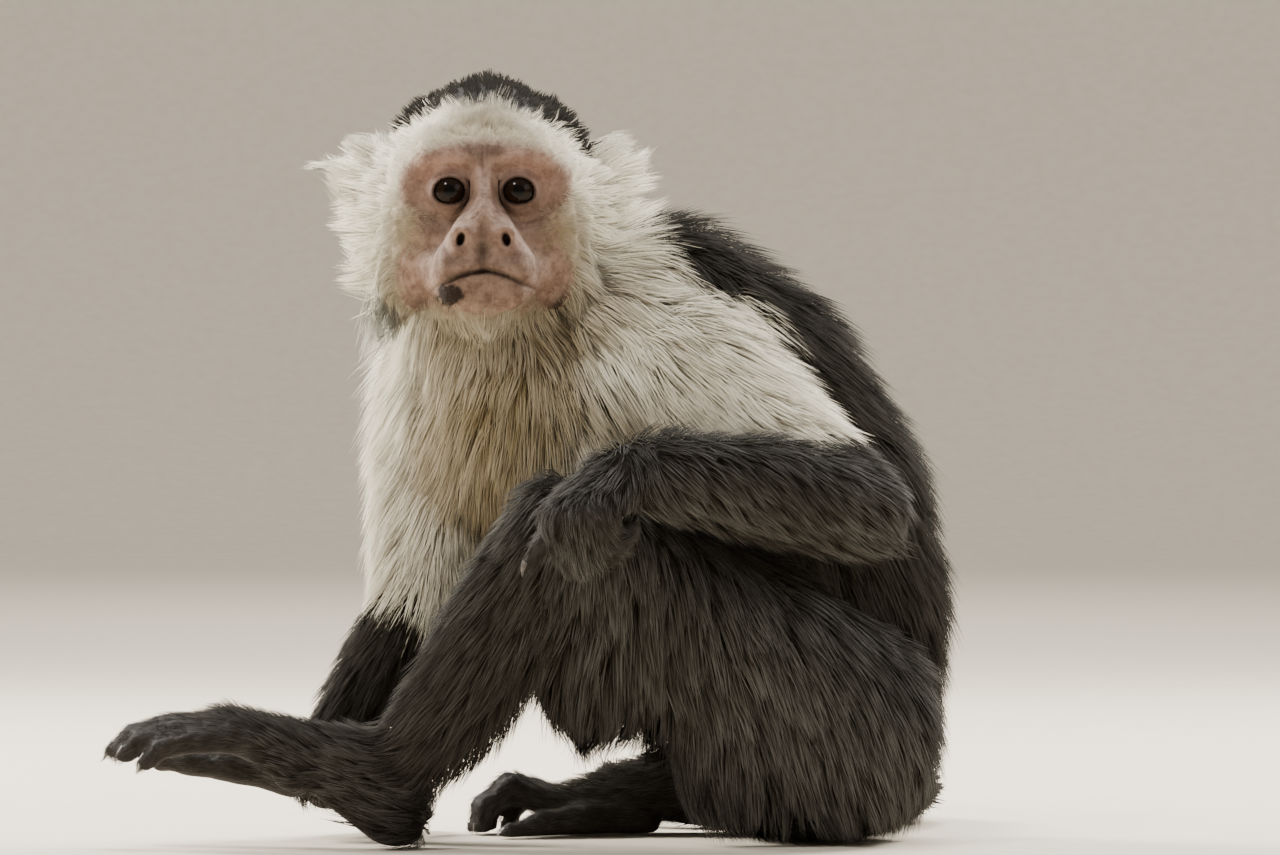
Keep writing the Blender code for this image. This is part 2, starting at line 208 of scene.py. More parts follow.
FLOOR_RADIUS = 5.4
SWEEP_RADIUS = 2.4
SWEEP_HEIGHT = 4.5
SWEEP_SIDES = 96
FLOOR_GAP = 0.2 * MM  # under the feet
profile = [(FLOOR_RADIUS * step / 6, 0.0) for step in range(1, 7)]
for step in range(1, 13):
    angle = math.radians(90 * step / 12)
    profile.append((FLOOR_RADIUS + SWEEP_RADIUS * math.sin(angle), SWEEP_RADIUS * (1 - math.cos(angle))))
profile.append((FLOOR_RADIUS + SWEEP_RADIUS, SWEEP_HEIGHT))
bm = bmesh.new()
rows = []
for radius, z in profile:
    angles = [2 * math.pi * side / SWEEP_SIDES for side in range(SWEEP_SIDES)]
    rows.append([
        bm.verts.new((MIDDLE[0] + radius * math.cos(a), radius * math.sin(a), z - FLOOR_GAP)) for a in angles
    ])
bm.faces.new(rows[0])
for near, far in zip(rows, rows[1:]):
    for side in range(SWEEP_SIDES):
        after = (side + 1) % SWEEP_SIDES
        bm.faces.new((near[side], far[side], far[after], near[after]))
mesh = to_mesh(bm, "sweep")
mesh.shade_smooth()
sweep = new_object("sweep", mesh)
paper = Finish("paper", Roughness=0.9)
fibres = paper.noise(60, 4)
tint = paper.mix(fibres.step(0.3, 0.7), colour(0.74, 0.66, 0.54), colour(0.78, 0.7, 0.58))
mesh.materials.append(paper.set(Base_Color=tint))


# ---------------------------------------------------------------- flesh under the coat
# The body without its hair, one closed skin. Each mass is the hull of a few balls: bone and muscle as a
# taxidermist builds them up. They are fused by a voxel remesh, so that no seam shows at any joint.

HUMERUS = 94 * MM
FOREARM = 96 * MM
FEMUR = 136 * MM
TIBIA = 118 * MM
HAND = 78 * MM
FOOT = 134 * MM
HEAD = millimetres(-140.4, 0, 255)
SHOULDER_LEFT = millimetres(-64, -22, 183)
SHOULDER_RIGHT = millimetres(-152, 36, 179)
HIP_LEFT = millimetres(-4, -31, 48)
HIP_RIGHT = millimetres(-18, 31, 48)
SKIN_VOXEL = 1.7 * MM

flesh = bmesh.new()
LIE = []  # how the hair grows round each place: rows for the coat's fields
NAILS = []  # (place, along, back, size) of each nail


def towards(yaw, pitch):
    """The direction at yaw degrees from -X round to -Y, the animal's left, and pitch degrees up."""
    yaw, pitch = math.radians(yaw), math.radians(pitch)
    flat = math.cos(pitch)
    return Vector((-math.cos(yaw) * flat, -math.sin(yaw) * flat, math.sin(pitch)))


def head_point(left, ahead, up):
    """A place in the head, in millimetres from its middle. It looks to -Y, so its left is +X."""
    return HEAD + millimetres(left, -ahead, up)


def ball(centre, *radii):
    """A ball of one radius, or an egg with a radius along each of X, Y and Z, all in millimetres."""
    return centre, Vector(radii * 3 if len(radii) == 1 else radii) * MM


def head_ball(left, ahead, up, *radii):
    return ball(head_point(left, ahead, up), *radii)


def body_ball(x, y, z, *radii):
    return ball(millimetres(x, y, z), *radii)


def mass(*balls):
    """Adds the hull of the balls to the flesh."""
    made = bmesh.new()
    for centre, radii in balls:
        at = Matrix.Translation(centre) @ Matrix.Diagonal((*radii, 1))
        bmesh.ops.create_icosphere(made, subdivisions=3, radius=1, matrix=at)
    found = bmesh.ops.convex_hull(made, input=made.verts[:])
    bmesh.ops.delete(made, geom=found["geom_interior"] + found["geom_unused"], context="VERTS")
    mesh = to_mesh(made, "mass")
    flesh.from_mesh(mesh)
    bpy.data.meshes.remove(mesh)


def chain(*balls):
    """A bent limb: a mass for each stretch between one ball and the next."""
    for pair in zip(balls, balls[1:]):
        mass(*pair)
    return balls


def mirrored(*balls):
    """The mass on the head's left side and its mirror image."""
    mass(*balls)
    mass(*[(Vector((2 * HEAD.x - centre.x, centre.y, centre.z)), radii) for centre, radii in balls])


FIELDS = ("x", "y", "z", "reach", "flow_x", "flow_y", "flow_z", "back_x", "back_y", "back_z",
          "length", "lift", "thickness", "density", "pale", "tan", "grizzle", "group")
GROUPS = ("head", "chest", "back", "arm_left", "arm_right", "leg_left", "leg_right", "tail", "hands", "feet")


ROW_SPACING = 8 * MM


def grow(group, balls, flow=None, back=None, **coat):
    """Says how the hair grows on flesh along a run of balls: its length and the height that it lifts to in
    millimetres, its thickness, density and markings. A pair of values runs from the first ball to the last.
    Without a flow the hair lies from ball to ball."""
    values = {"length": 20, "lift": 6, "thickness": 0.5, "density": 1.0, "pale": 0, "tan": 0, "grizzle": 0}
    values.update(coat)
    stretches = max(1, len(balls) - 1)
    for index in range(stretches):
        (start, start_radii), (end, end_radii) = balls[index], balls[min(index + 1, len(balls) - 1)]
        steps = max(1, round((end - start).length / ROW_SPACING))
        for step in range(steps + (index == stretches - 1 and steps > 1)):
            share = step / steps
            along = (index + share) / stretches
            place = start.lerp(end, share)
            reach = (start_radii.lerp(end_radii, share).x + start_radii.lerp(end_radii, share).y) / 2
            lie = Vector(flow) if flow else end - start
            row = [*place, reach, *lie.normalized(), *(back or (0, 0, 0))]
            for name in ("length", "lift", "thickness", "density", "pale", "tan", "grizzle"):
                value = values[name]
                row.append(value[0] + (value[1] - value[0]) * along if isinstance(value, tuple) else value)
            LIE.append(row + [GROUPS.index(group)])


def digit(root, aim, bend_axis, lengths, bends, radii, back, group, nail):
    """A finger or toe: a chain of bones with a knuckle at each joint, each turned about bend_axis."""
    place, direction = root, aim.normalized()
    balls = [ball(place, radii[0])]
    for length, bend, radius in zip(lengths, bends, radii[1:]):
        turn = Matrix.Rotation(math.radians(bend), 3, bend_axis)
        direction = turn @ direction
        back = turn @ back
        middle = place + direction * length * 0.5
        place = place + direction * length
        balls.append(ball(middle - back * 0.3 * MM, radius * 0.93))
        balls.append(ball(place, radius))
    chain(*balls)
    # The pad under the tip.
    mass(ball(place - back * 0.9 * MM - direction * 1.2 * MM, radii[-1] * 0.95), balls[-1])
    # Short hair on the digit, silver-tipped, partly as painted sheen.
    grow(group, balls, back=back, length=(8, 5), lift=(2.4, 1.4), thickness=0.36, density=1.8, grizzle=0.4)
    nail_place = place + direction * radii[-1] * 0.25 * MM + back * radii[-1] * 0.62 * MM
    NAILS.append((nail_place, direction, back, nail))


def make_hand(wrist, along, back, sign, bends, thumb_out, thumb_bends):
    """The palm and five digits. along points to the knuckles, back out of the back of the hand.

    sign is 1 where the thumb lies on the side that along x back points to, and -1 on the other.
    """
    along, back = along.normalized(), back.normalized()
    across = along.cross(back) * sign
    bend_axis = -along.cross(back)
    knuckles = [
        wrist + along * HAND * 0.46 * reach + (across * 6.4 * place + back * lift) * MM
        for place, reach, lift in ((1.5, 0.95, -1), (0.5, 1.0, 0.6), (-0.5, 0.97, 0.6), (-1.5, 0.9, -1.2))
    ]
    mass(ball(wrist, 9.5), *[ball(knuckle, 4.6) for knuckle in knuckles])
    mass(ball(wrist + (along * 14 + across * 5 - back * 3) * MM, 7), ball(knuckles[0] - back * 2 * MM, 4))
    for knuckle, share in zip(knuckles, (0.92, 1.0, 0.96, 0.8)):
        chain(ball(wrist + back * 2 * MM, 4), ball(knuckle, 5))
        lengths = [HAND * share * part for part in (0.25, 0.17, 0.1)]
        digit(knuckle, along, bend_axis, lengths, bends, (5, 4.5, 3.9, 3.2), back, "hands", (5.5, 3.2))
    if bends[0] > 80:
        # A loosely closed hand shows no hollow: the pads of the fingers rest on the palm.
        mass(*[ball(knuckle - (along * 4.5 + back * 8) * MM, 5) for knuckle in knuckles])
    root = wrist + (along * 9 + across * 7 - back * 2) * MM
    aim = along * math.cos(thumb_out) + across * math.sin(thumb_out) - back * 0.25
    lengths = (20 * MM, 13 * MM, 9 * MM)
    digit(root, aim, bend_axis, lengths, thumb_bends, (6.4, 4.9, 4.3, 3.2), back, "hands", (5.2, 3.4))
    middle = (knuckles[1] + knuckles[2]) / 2
    return [ball(wrist, 9.5), ball(middle, 7)]


def make_foot(heel, along, up, sign, big_toe_bends, toe_bends):
    """The foot from the heel's sole. along points to the toes, up out of the instep.

    sign is 1 where the big toe lies on the side that along x up points to, and -1 on the other.
    """
    along, up = along.normalized(), up.normalized()
    across = along.cross(up) * sign
    bend_axis = -along.cross(up)

    def at(forward, inward, rise):
        """forward is a share of the foot's length, inward towards the big toe and rise in millimetres."""
        return heel + along * forward * FOOT + (across * inward + up * rise) * MM

    instep = ball(at(0.38, 1, 16.5), 11)
    toe_places = ((0.66, 9, 10), (0.665, 2.5, 10.5), (0.64, -4.5, 10), (0.6, -11, 9))
    joints = [at(*place) for place in toe_places]
    mass(ball(at(0.09, 0, 12.2), 12), ball(at(0.17, 0, 27), 12.5), instep)
    mass(instep, *[ball(joint, 6) for joint in joints])
    mass(instep, ball(at(0.42, -7, 9), 8), ball(at(0.4, 9, 9), 8))
    for joint, share in zip(joints, (0.95, 1.0, 0.95, 0.84)):
        chain(ball(at(0.42, 1, 19), 5), ball(joint + up * 1.2 * MM, 5.6))
        lengths = [FOOT * share * part for part in (0.15, 0.105, 0.07)]
        digit(joint, along, bend_axis, lengths, toe_bends, (5.9, 5, 4.4, 3.5), up, "feet", (7, 3.6))
    lengths = [FOOT * part for part in (0.185, 0.145, 0.1)]
    root, aim = at(0.41, 11, 6), along + across * 0.42
    digit(root, aim, bend_axis, lengths, big_toe_bends, (8.4, 7, 6.1, 4.7), up, "feet", (6.5, 4.6))
    return [ball(at(0.17, 0, 22), 13), instep, ball(at(0.62, -1, 12), 9)]


# Head: skull, brow, nose, muzzle, jaw and cheeks. The skull is set well inside the long cheek hair.
HEAD_MASSES = [  # each ball by its place (left, ahead, up) and radii, on the middle or on both sides
    (mass, (0, 37, 12, 10), (0, 15, 17, 25)),
    (mirrored, (14, -3, 15, 20), (12, -18, 10, 20)),
    (mass, (0, 47, 5, 5.6), (0, 60, -14, 6)),
    (mass, (0, 38, -24, 18), (0, 59, -19, 7.5)),
    (mass, (0, 51, -41, 10.5), (0, 35, -38, 17)),
    (mass, (0, 30, -43, 22, 17, 11), (0, 6, -34, 26)),
    (mirrored, (19, 32, 11, 13), (23.5, 30.5, -12, 13.5), (25, 26, -34, 13), (6, 32, -10, 11)),
    (mirrored, (20, 42, 11, 8.5), (2, 43, 11.5, 9)),
    (mirrored, (17, 40, -11, 8), (26, 36, -4, 8), (26, 37, 5, 8)),
    (mirrored, (23, 36, -13, 10), (12, 40, -19, 11)),
    (mirrored, (8.5, 55.5, -31, 11.5), (2, 54, -20, 10.5)),
    (mirrored, (8, 54, -39, 9.5), (13, 39, -31, 13)),
    (mirrored, (7, 61, -19, 6), (3, 52, -12, 6)),
    (mirrored, (27, 8, -10, 14, 24, 26), (23, -8, 4, 13, 22, 23)),
    (mirrored, (26, 29, -38, 8.5, 7, 11), (22, 30, -26, 10)),
    # Ears: upright oval shells, flared out behind.
    (mirrored, (44, -4, 4, 3), (46, -9, 16, 2.2), (49.5, -13, 10, 2.2), (47, -11, -2, 2.2), (40, -6, 12, 3)),
]
skull = head_ball(0, -2, 3, 33, 43, 37)
mass(skull)
for build, *balls in HEAD_MASSES:
    build(*[head_ball(*numbers) for numbers in balls])

# Trunk, neck and shoulders.
seat = body_ball(-8, 2, 27, 33, 36, 24)
pelvis = body_ball(-10, 2, 51, 38, 39, 40)
waist = body_ball(-16, 5, 94, 48, 38, 38)
middle_back = body_ball(-29, 8, 137, 53, 39, 37)
rib_cage = body_ball(-63, 8, 172, 63, 39, 52)
withers = body_ball(-70, 12, 206, 32, 29, 31)
nape = body_ball(-114, 6, 210, 26, 26, 26)
breast = body_ball(-122, -7, 166, 31, 26, 33)
bib = body_ball(-144, 6, 160, 22, 21, 29)
throat = head_ball(0, 0, -22, 26, 28, 24)
chain(seat, pelvis, waist, middle_back, rib_cage, withers, nape)
chain(nape, throat)
chain(nape, skull)
mass(rib_cage, breast)
mass(breast, bib)
mass(breast, nape)
mass(breast, throat)
mass(breast, waist)
mass(ball(SHOULDER_LEFT, 21), rib_cage)
mass(ball(SHOULDER_LEFT, 20), body_ball(-108, -14, 172, 20))
mass(ball(SHOULDER_LEFT, 20), body_ball(-98, -6, 206, 20))
mass(ball(SHOULDER_RIGHT, 22), bib)
mass(ball(SHOULDER_RIGHT, 22), rib_cage)

# Left arm: out and back to the elbow, then forward across the knee, the hand hanging loose.
elbow = SHOULDER_LEFT + towards(150, -34) * HUMERUS
wrist = elbow + towards(20, 9) * FOREARM
hand_along = towards(44, -28)
hand_back = towards(44, 62)
left_hand = make_hand(wrist, hand_along, hand_back, 1, (92, 74, 46), 0.4, (0, 14, 14))
left_arm = chain(
    ball(SHOULDER_LEFT, 24),
    ball(SHOULDER_LEFT.lerp(elbow, 0.5), 20),
    ball(elbow, 14),
    ball(elbow.lerp(wrist, 0.4) + 2 * MM * UP, 16),
    ball(elbow.lerp(wrist, 0.75) + 1 * MM * UP, 13),
    ball(wrist, 9.5),
)

# Right arm: straight down between the feet, the hand flat on the floor.
elbow = SHOULDER_RIGHT + towards(68, -63) * HUMERUS
wrist = elbow + towards(-10, -60) * FOREARM * 0.85
right_hand = make_hand(wrist, towards(-123, -14), towards(-123, 76), -1, (-4, 6, 6), -0.15, (-10, 0, 0))
right_arm = chain(
    ball(SHOULDER_RIGHT, 24),
    ball(SHOULDER_RIGHT.lerp(elbow, 0.5), 19),
    ball(elbow, 13),
    ball(elbow.lerp(wrist, 0.5), 11.5),
    ball(wrist, 9),
)

# Left leg: knee drawn up beside the chest, foot set forward on its heel with the toes raised.
knee = HIP_LEFT + towards(16, 36) * FEMUR
ankle = knee + towards(-4, -56) * TIBIA
foot_along = towards(0, 30)
left_foot_up = towards(0, 120)
heel = ankle - foot_along * FOOT * 0.17 - left_foot_up * 28 * MM
left_foot = make_foot(heel, foot_along, left_foot_up, 1, (21, 4, 2), (33, 10, 28))
left_thigh = chain(
    ball(HIP_LEFT, 31, 20, 34),
    ball(HIP_LEFT.lerp(knee, 0.5), 25, 20, 26),
    ball(knee, 14.5),
)
left_shin = chain(
    ball(knee, 14.5),
    ball(knee.lerp(ankle, 0.4) + millimetres(4, 0, -2), 19, 14, 18),
    ball(knee.lerp(ankle, 0.75) + millimetres(6, 0, -2), 16.5, 12, 15),
    ball(knee.lerp(ankle, 0.93) + millimetres(4, 0, 0), 12.5, 10, 12),
    ball(ankle, 11.5),
)
mass(
    ball(HIP_LEFT.lerp(knee, 0.4), 22, 18, 22),
    body_ball(-38, -38, 38, 25, 15, 22),
    ball(HIP_LEFT, 28, 18, 30),
)
mass(
    ball(HIP_LEFT.lerp(knee, 0.5), 22, 17, 22),
    body_ball(-98, -48, 74, 20, 9, 17),
    ball(knee.lerp(ankle, 0.3) + millimetres(8, 0, -4), 13, 9, 13),
)

# Right leg: knee drawn up against the belly, foot flat beneath it.
knee = HIP_RIGHT + towards(-16, 38) * FEMUR
heel = millimetres(-26, 50, 0.2)
foot_along = towards(3, 0)
ankle = heel + foot_along * FOOT * 0.17 + UP * 28 * MM
right_foot = make_foot(heel, foot_along, UP, -1, (0, 6, 8), (-28, 66, 38))
right_thigh = chain(
    ball(HIP_RIGHT, 30, 22, 33),
    ball(HIP_RIGHT.lerp(knee, 0.5), 24, 19, 25),
    ball(knee, 14),
)
right_shin = chain(
    ball(knee, 14),
    ball(knee.lerp(ankle, 0.5), 14, 12, 15),
    ball(ankle, 11),
)

# Tail: off the rump and round on the floor in an open coil.
TAIL_STEPS = 40


def tail_place(share):
    """The middle of the tail, share of the way along it: off the rump, then a flat spiral on the floor."""
    turn = math.radians(-46 + 420 * share)
    radius = (76 - 48 * share) * MM
    spiral = millimetres(-42, 126, 0) + radius * Vector((math.cos(turn), math.sin(turn), 0))
    spiral.z = (15.5 - 5 * share) * MM
    leaving = min(1.0, share / 0.1)
    return millimetres(6, 32, 22).lerp(spiral, leaving * leaving * (3 - 2 * leaving))


tail = [
    ball(tail_place(0.96 * step / TAIL_STEPS), 9.5 - 5 * step / TAIL_STEPS) for step in range(TAIL_STEPS + 1)
]
chain(*tail)

skin = new_object("skin", to_mesh(flesh, "skin"))
fuse = skin.modifiers.new("fuse", "REMESH")
fuse.mode = "VOXEL"
fuse.voxel_size = SKIN_VOXEL
smooth = skin.modifiers.new("smooth", "SMOOTH")
smooth.factor = 0.5
smooth.iterations = 4
bpy.context.view_layer.update()
fused = bpy.data.meshes.new_from_object(skin.evaluated_get(bpy.context.evaluated_depsgraph_get()))
skin.modifiers.clear()
skin.data = fused


# ---------------------------------------------------------------- the face's form
# Bare skin over the skull: brow, lids, nostrils, lips, cheek folds. The skin there is cut finer and then
# moved forward or back, in millimetres, by shapes drawn over the face from the front: left and up.

EYE_SIDE = 13.3
EYE_UP = -2.0
EYE_AHEAD = 45.5
EYE_RADIUS = 8.8
LID_THICKNESS = 0.75
OPENING_WIDTH = 6.1  # half of what shows of the eye
OPENING_HEIGHT = 5.1


def in_head(points):
    """Left, ahead and up of the head's middle, in millimetres, for an array of points."""
    return np.stack((points[:, 0] - HEAD.x, HEAD.y - points[:, 1], points[:, 2] - HEAD.z)) / MM


def smooth_step(low, high, value):
    share = np.clip((value - low) / (high - low), 0, 1)
    return share * share * (3 - 2 * share)


def refine(mesh, wanted):
    """Halves every edge whose ends are both wanted."""
    bm = bmesh.new()
    bm.from_mesh(mesh)
    chosen = {vertex.index for vertex in bm.verts if wanted(vertex.co)}
    edges = [edge for edge in bm.edges if edge.verts[0].index in chosen and edge.verts[1].index in chosen]
    bmesh.ops.subdivide_edges(bm, edges=edges, cuts=1, use_grid_fill=True, smooth=0.2)
    bm.to_mesh(mesh)
    bm.free()


def in_face(place):
    before = place.y < HEAD.y - 16 * MM
    return before and abs(place.x - HEAD.x) < 42 * MM and -58 * MM < place.z - HEAD.z < 24 * MM


HAND_BALLS = [left_hand[1], right_hand[1], left_foot[1], left_foot[2], right_foot[1], right_foot[2]]


def in_digits(place):
    return any((place - centre).length < 31 * MM for centre, _ in HAND_BALLS)


refine(skin.data, in_face)
refine(skin.data, in_face)
refine(skin.data, in_digits)


def read(items, name, width, kind=float):
    """One property of all the items, as the rows of an array."""
    found = np.empty(len(items) * width, kind)
    items.foreach_get(name, found)
    return found.reshape(-1, width)


def normals(mesh):
    return read(mesh.vertex_normals, "vector", 3, np.float32).astype(float)


def averaged(values, ends, rounds, share=None):
    """Values at the vertices, each moved to the mean of its neighbours so many times."""
    count = len(values)
    linked = np.bincount(ends.ravel(), minlength=count)[:, None]
    values = values.reshape(count, -1)
    for _ in range(rounds):
        total = np.stack([
            np.bincount(ends[:, 0], column[ends[:, 1]], count)
            + np.bincount(ends[:, 1], column[ends[:, 0]], count)
            for column in values.T
        ], axis=1)
        mean = total / np.maximum(linked, 1)
        values = mean if share is None else values + (mean - values) * share[:, None]
    return values


def hill(left, up, middle, spread, turn=0.0):
    """A rounded hill 1 high about a middle, with a spread along each way, turned by so many degrees."""
    turn = math.radians(turn)
    x, y = left - middle[0], up - middle[1]
    along = x * math.cos(turn) + y * math.sin(turn)
    across = y * math.cos(turn) - x * math.sin(turn)
    return np.exp(-((along / spread[0]) ** 2 + (across / spread[1]) ** 2) / 2)


def near_line(left, up, path, width):
    """1 on a line through the points of the path, falling away over the width, and less towards its ends."""
    best = np.full(left.shape, 1e9)
    taper = np.ones(left.shape)
    lengths = [math.dist(a, b) for a, b in zip(path, path[1:])]
    done = 0.0
    for (ax, ay), (bx, by), length in zip(path, path[1:], lengths):
        share = np.clip(((left - ax) * (bx - ax) + (up - ay) * (by - ay)) / length ** 2, 0, 1)
        away = np.hypot(left - ax - (bx - ax) * share, up - ay - (by - ay) * share)
        along = (done + share * length) / sum(lengths)
        taper = np.where(away < best, np.sin(np.pi * (0.08 + 0.84 * along)) ** 0.5, taper)
        best = np.minimum(best, away)
        done += length
    return np.exp(-((best / width) ** 2) / 2) * taper


def arc(middle, radii, start, end, steps=8):
    """Points along part of an oval, between two angles in degrees from the head's left, rising."""
    angles = [math.radians(start + (end - start) * step / steps) for step in range(steps + 1)]
    return [(middle[0] + radii[0] * math.cos(a), middle[1] + radii[1] * math.sin(a)) for a in angles]


MOUTH = [
    (-20.5, -40.6), (-18.2, -39.2), (-14, -37.2), (-9.3, -35.2), (-4.5, -33.8),
    (0, -33.2), (4.5, -33.8), (9.3, -35.3), (14, -37.4), (19, -40),
]


def on_floor(points):
    """The points, with what would pass through the floor pressed flat just over it."""
    height = points[:, 2]
    pressed = 0.3 * MM + 2.7 * MM * np.exp((height / MM - 3) / 2.7)
    points[:, 2] = np.where(height < 3 * MM, pressed, height)
    return points


places = on_floor(read(skin.data.vertices, "co", 3))
edges = read(skin.data.edges, "vertices", 2, int)
left, ahead, up = in_head(places)
outward = normals(skin.data)
front = smooth_step(18, 30, ahead) * smooth_step(46, 40, np.abs(left))
front *= smooth_step(-0.15, 0.25, -outward[:, 1])
front *= smooth_step(-62, -56, up) * smooth_step(30, 22, up)
smoothed = averaged(places, edges, 6, share=smooth_step(16, 20, ahead) * (np.abs(left) < 44) * 0.8)
left, ahead, up = in_head(smoothed)
side = np.abs(left)

forward = np.zeros(len(places))
SOCKET = (13.5, -2)


def ridge(rise, path, width, across=side):
    """Raises the face along a path, or sinks it where rise is negative. Across side is on both halves."""
    forward[:] += rise * near_line(across, up, path, width)


def swell(rise, middle, spread, turn=0.0, across=side):
    """Raises a rounded place of the face, or sinks it where rise is negative."""
    forward[:] += rise * hill(across, up, middle, spread, turn)


# Brow: a ridge over each eye, parted by a crease that runs down on to the bridge of the nose.
ridge(1.5, arc(SOCKET, (13.5, 13.5), 20, 150), 3.2)
swell(0.8, (3.2, 7), (2, 8))
ridge(-1.3, [(0.4, 18), (0, 8), (0.2, -2)], 0.75, across=left)
ridge(-0.45, [(5.5, 15), (4.6, 9), (4.4, 3)], 0.7)
ridge(-0.3, [(9.5, 15), (8, 11)], 0.7)
# Sockets, hollow towards the nose and under the brow.
swell(-1.0, (7.2, -1), (2.6, 5), -8)
swell(-1.4, (13.5, 5.6), (7, 1.7))
swell(-1.2, (22.5, -1), (2.6, 4.5))
swell(-1.0, (14, -12), (7, 3.2))
# Nose: a low bridge that broadens to two round wings with a groove between them.
swell(1.0, (0, -8), (3.6, 8), across=left)
ridge(1.6, arc((8.8, -20.8), (3.9, 4.9), -80, 200), 1.1)
swell(0.9, (4, -19.5), (2.2, 5))
ridge(-1.0, [(0, -14), (0, -22), (0, -31)], 1.25, across=left)
ridge(-1.3, [(11, -11), (14.6, -16), (15.2, -22), (12.5, -27.5), (6, -28.5)], 1.2)
# Muzzle: lips that meet in a long, turned-down line, the upper one full, with a fold at each corner.
ridge(0.8, [(x * 0.86, y + 3.2) for x, y in MOUTH], 2.0, across=left)
ridge(1.1, [(x * 0.82, y - 4.2) for x, y in MOUTH], 2.4, across=left)
ridge(-2.2, MOUTH, 0.62, across=left)
ridge(-0.9, MOUTH, 1.7, across=left)
ridge(-1.2, [(-12, -47.6), (0, -48.8), (12, -47.6)], 2.0, across=left)
ridge(-1.4, [(16.5, -15), (20.5, -24), (22, -34), (20.4, -42), (16.5, -47)], 1.7)
swell(1.2, (17, -34), (2.6, 5))
# Cheeks: a slack pouch on each side, finely folded.
swell(0.9, (27.5, -35), (4, 8.5))
for reach in (3.2, 5.6, 8.2):
    ridge(-0.5, arc((25.5, -34), (reach * 0.85, reach * 1.5), -150, 40), 0.6)
ridge(-0.5, arc(SOCKET, (10.6, 9.4), 205, 330), 0.7)
ridge(-0.4, arc(SOCKET, (13.4, 12.2), 215, 320), 0.8)
ridge(-0.35, [(3.2, 12), (6, 6.5), (8, 4)], 0.6)
for reach in (0, 2.4, 4.8):
    ridge(-0.35, arc(SOCKET, (11 + reach, 9.5 + reach), 190, 300), 0.45)
    ridge(-0.3, [(3.4, 1 - reach), (7.5, -3.5 - 1.2 * reach)], 0.4)
    ridge(-0.3, arc(SOCKET, (12 + reach, 12 + 0.7 * reach), 35, 120), 0.5)
ridge(-0.4, [(22, 1), (26, 2.5)], 0.6)
ridge(-0.4, [(22.5, -3), (27, -4.5)], 0.6)
ahead = ahead + forward * front
side_way = np.sign(left) * 0.8 * hill(side, up, (31, -37), (5, 9)) * smooth_step(14, 24, ahead)
left = left + side_way

# Nostrils: two deep slots, set apart and turned outward.
slot_x = (side - 8.7) * 0.96 + (up + 21) * 0.26
slot_y = (up + 21) * 0.96 - (side - 8.7) * 0.26
slot = np.hypot(slot_x / 1.75, slot_y / 2.9)
ahead = ahead - 5.0 * smooth_step(1.12, 0.55, slot) * (front > 0)

# Lids: a rim that hugs the eyeball round the opening, and a pit behind it for the eyeball.
around_x, around_y = side - EYE_SIDE, up - EYE_UP
away = np.hypot(around_x, around_y)
lid = np.hypot(around_x / OPENING_WIDTH, (around_y + 0.035 * around_x * around_x * 0.3) / OPENING_HEIGHT)
on_eyeball = EYE_AHEAD + np.sqrt(np.maximum((EYE_RADIUS + LID_THICKNESS) ** 2 - away ** 2, 0.5))
near_eye = (away < 14) & (front > 0)
LID_EDGE = 6.3
at_edge = math.sqrt((EYE_RADIUS + LID_THICKNESS) ** 2 - LID_EDGE ** 2)
on_eyeball = np.where(away < LID_EDGE, on_eyeball, EYE_AHEAD + at_edge - 0.62 * (away - LID_EDGE))
hug = np.where(near_eye, smooth_step(11.5, 6.6, away), 0)
ahead = ahead + (on_eyeball - ahead) * hug
ahead = ahead + 0.2 * np.exp(-(((lid - 1.12) / 0.07) ** 2)) * near_eye
ahead = ahead - 0.45 * np.exp(-(((lid - 1.38) / 0.06) ** 2)) * near_eye * (around_y > 0)
ahead = ahead - 0.2 * np.exp(-(((lid - 1.45) / 0.07) ** 2)) * near_eye * (around_y < 0)
inner_corner = 0.8 * near_line(side, up, [(7.2, 3), (7.6, -3), (9.6, -7.6)], 1.1)
ahead = ahead + inner_corner * near_eye * smooth_step(1.15, 1.3, lid)
pit = np.where(near_eye, smooth_step(1.0, 0.9, lid), 0)
ahead = ahead + (EYE_AHEAD - 3 - ahead) * pit

places = np.stack((HEAD.x + left * MM, HEAD.y - ahead * MM, HEAD.z + up * MM), axis=1)
skin.data.vertices.foreach_set("co", places.ravel())
skin.data.update()


# ---------------------------------------------------------------- the lie and the markings of the coat
# Along each limb and round the head: how long the hair is, how far it stands up, which way it lies, and
# whether it is white, tan or black, the tan deepened by painted shade in places and the black silver-tipped,
# partly as painted sheen. What is in between two places is blended, so nothing has a hard edge.

BLEND = 3.2 * MM
AT_ONCE = 20000  # points worked out together


def spot(group, place, radius, **coat):
    grow(group, [ball(place, radius)], **coat)


HAIR = ("length", "lift", "thickness", "density", "tan", "grizzle", "pale")
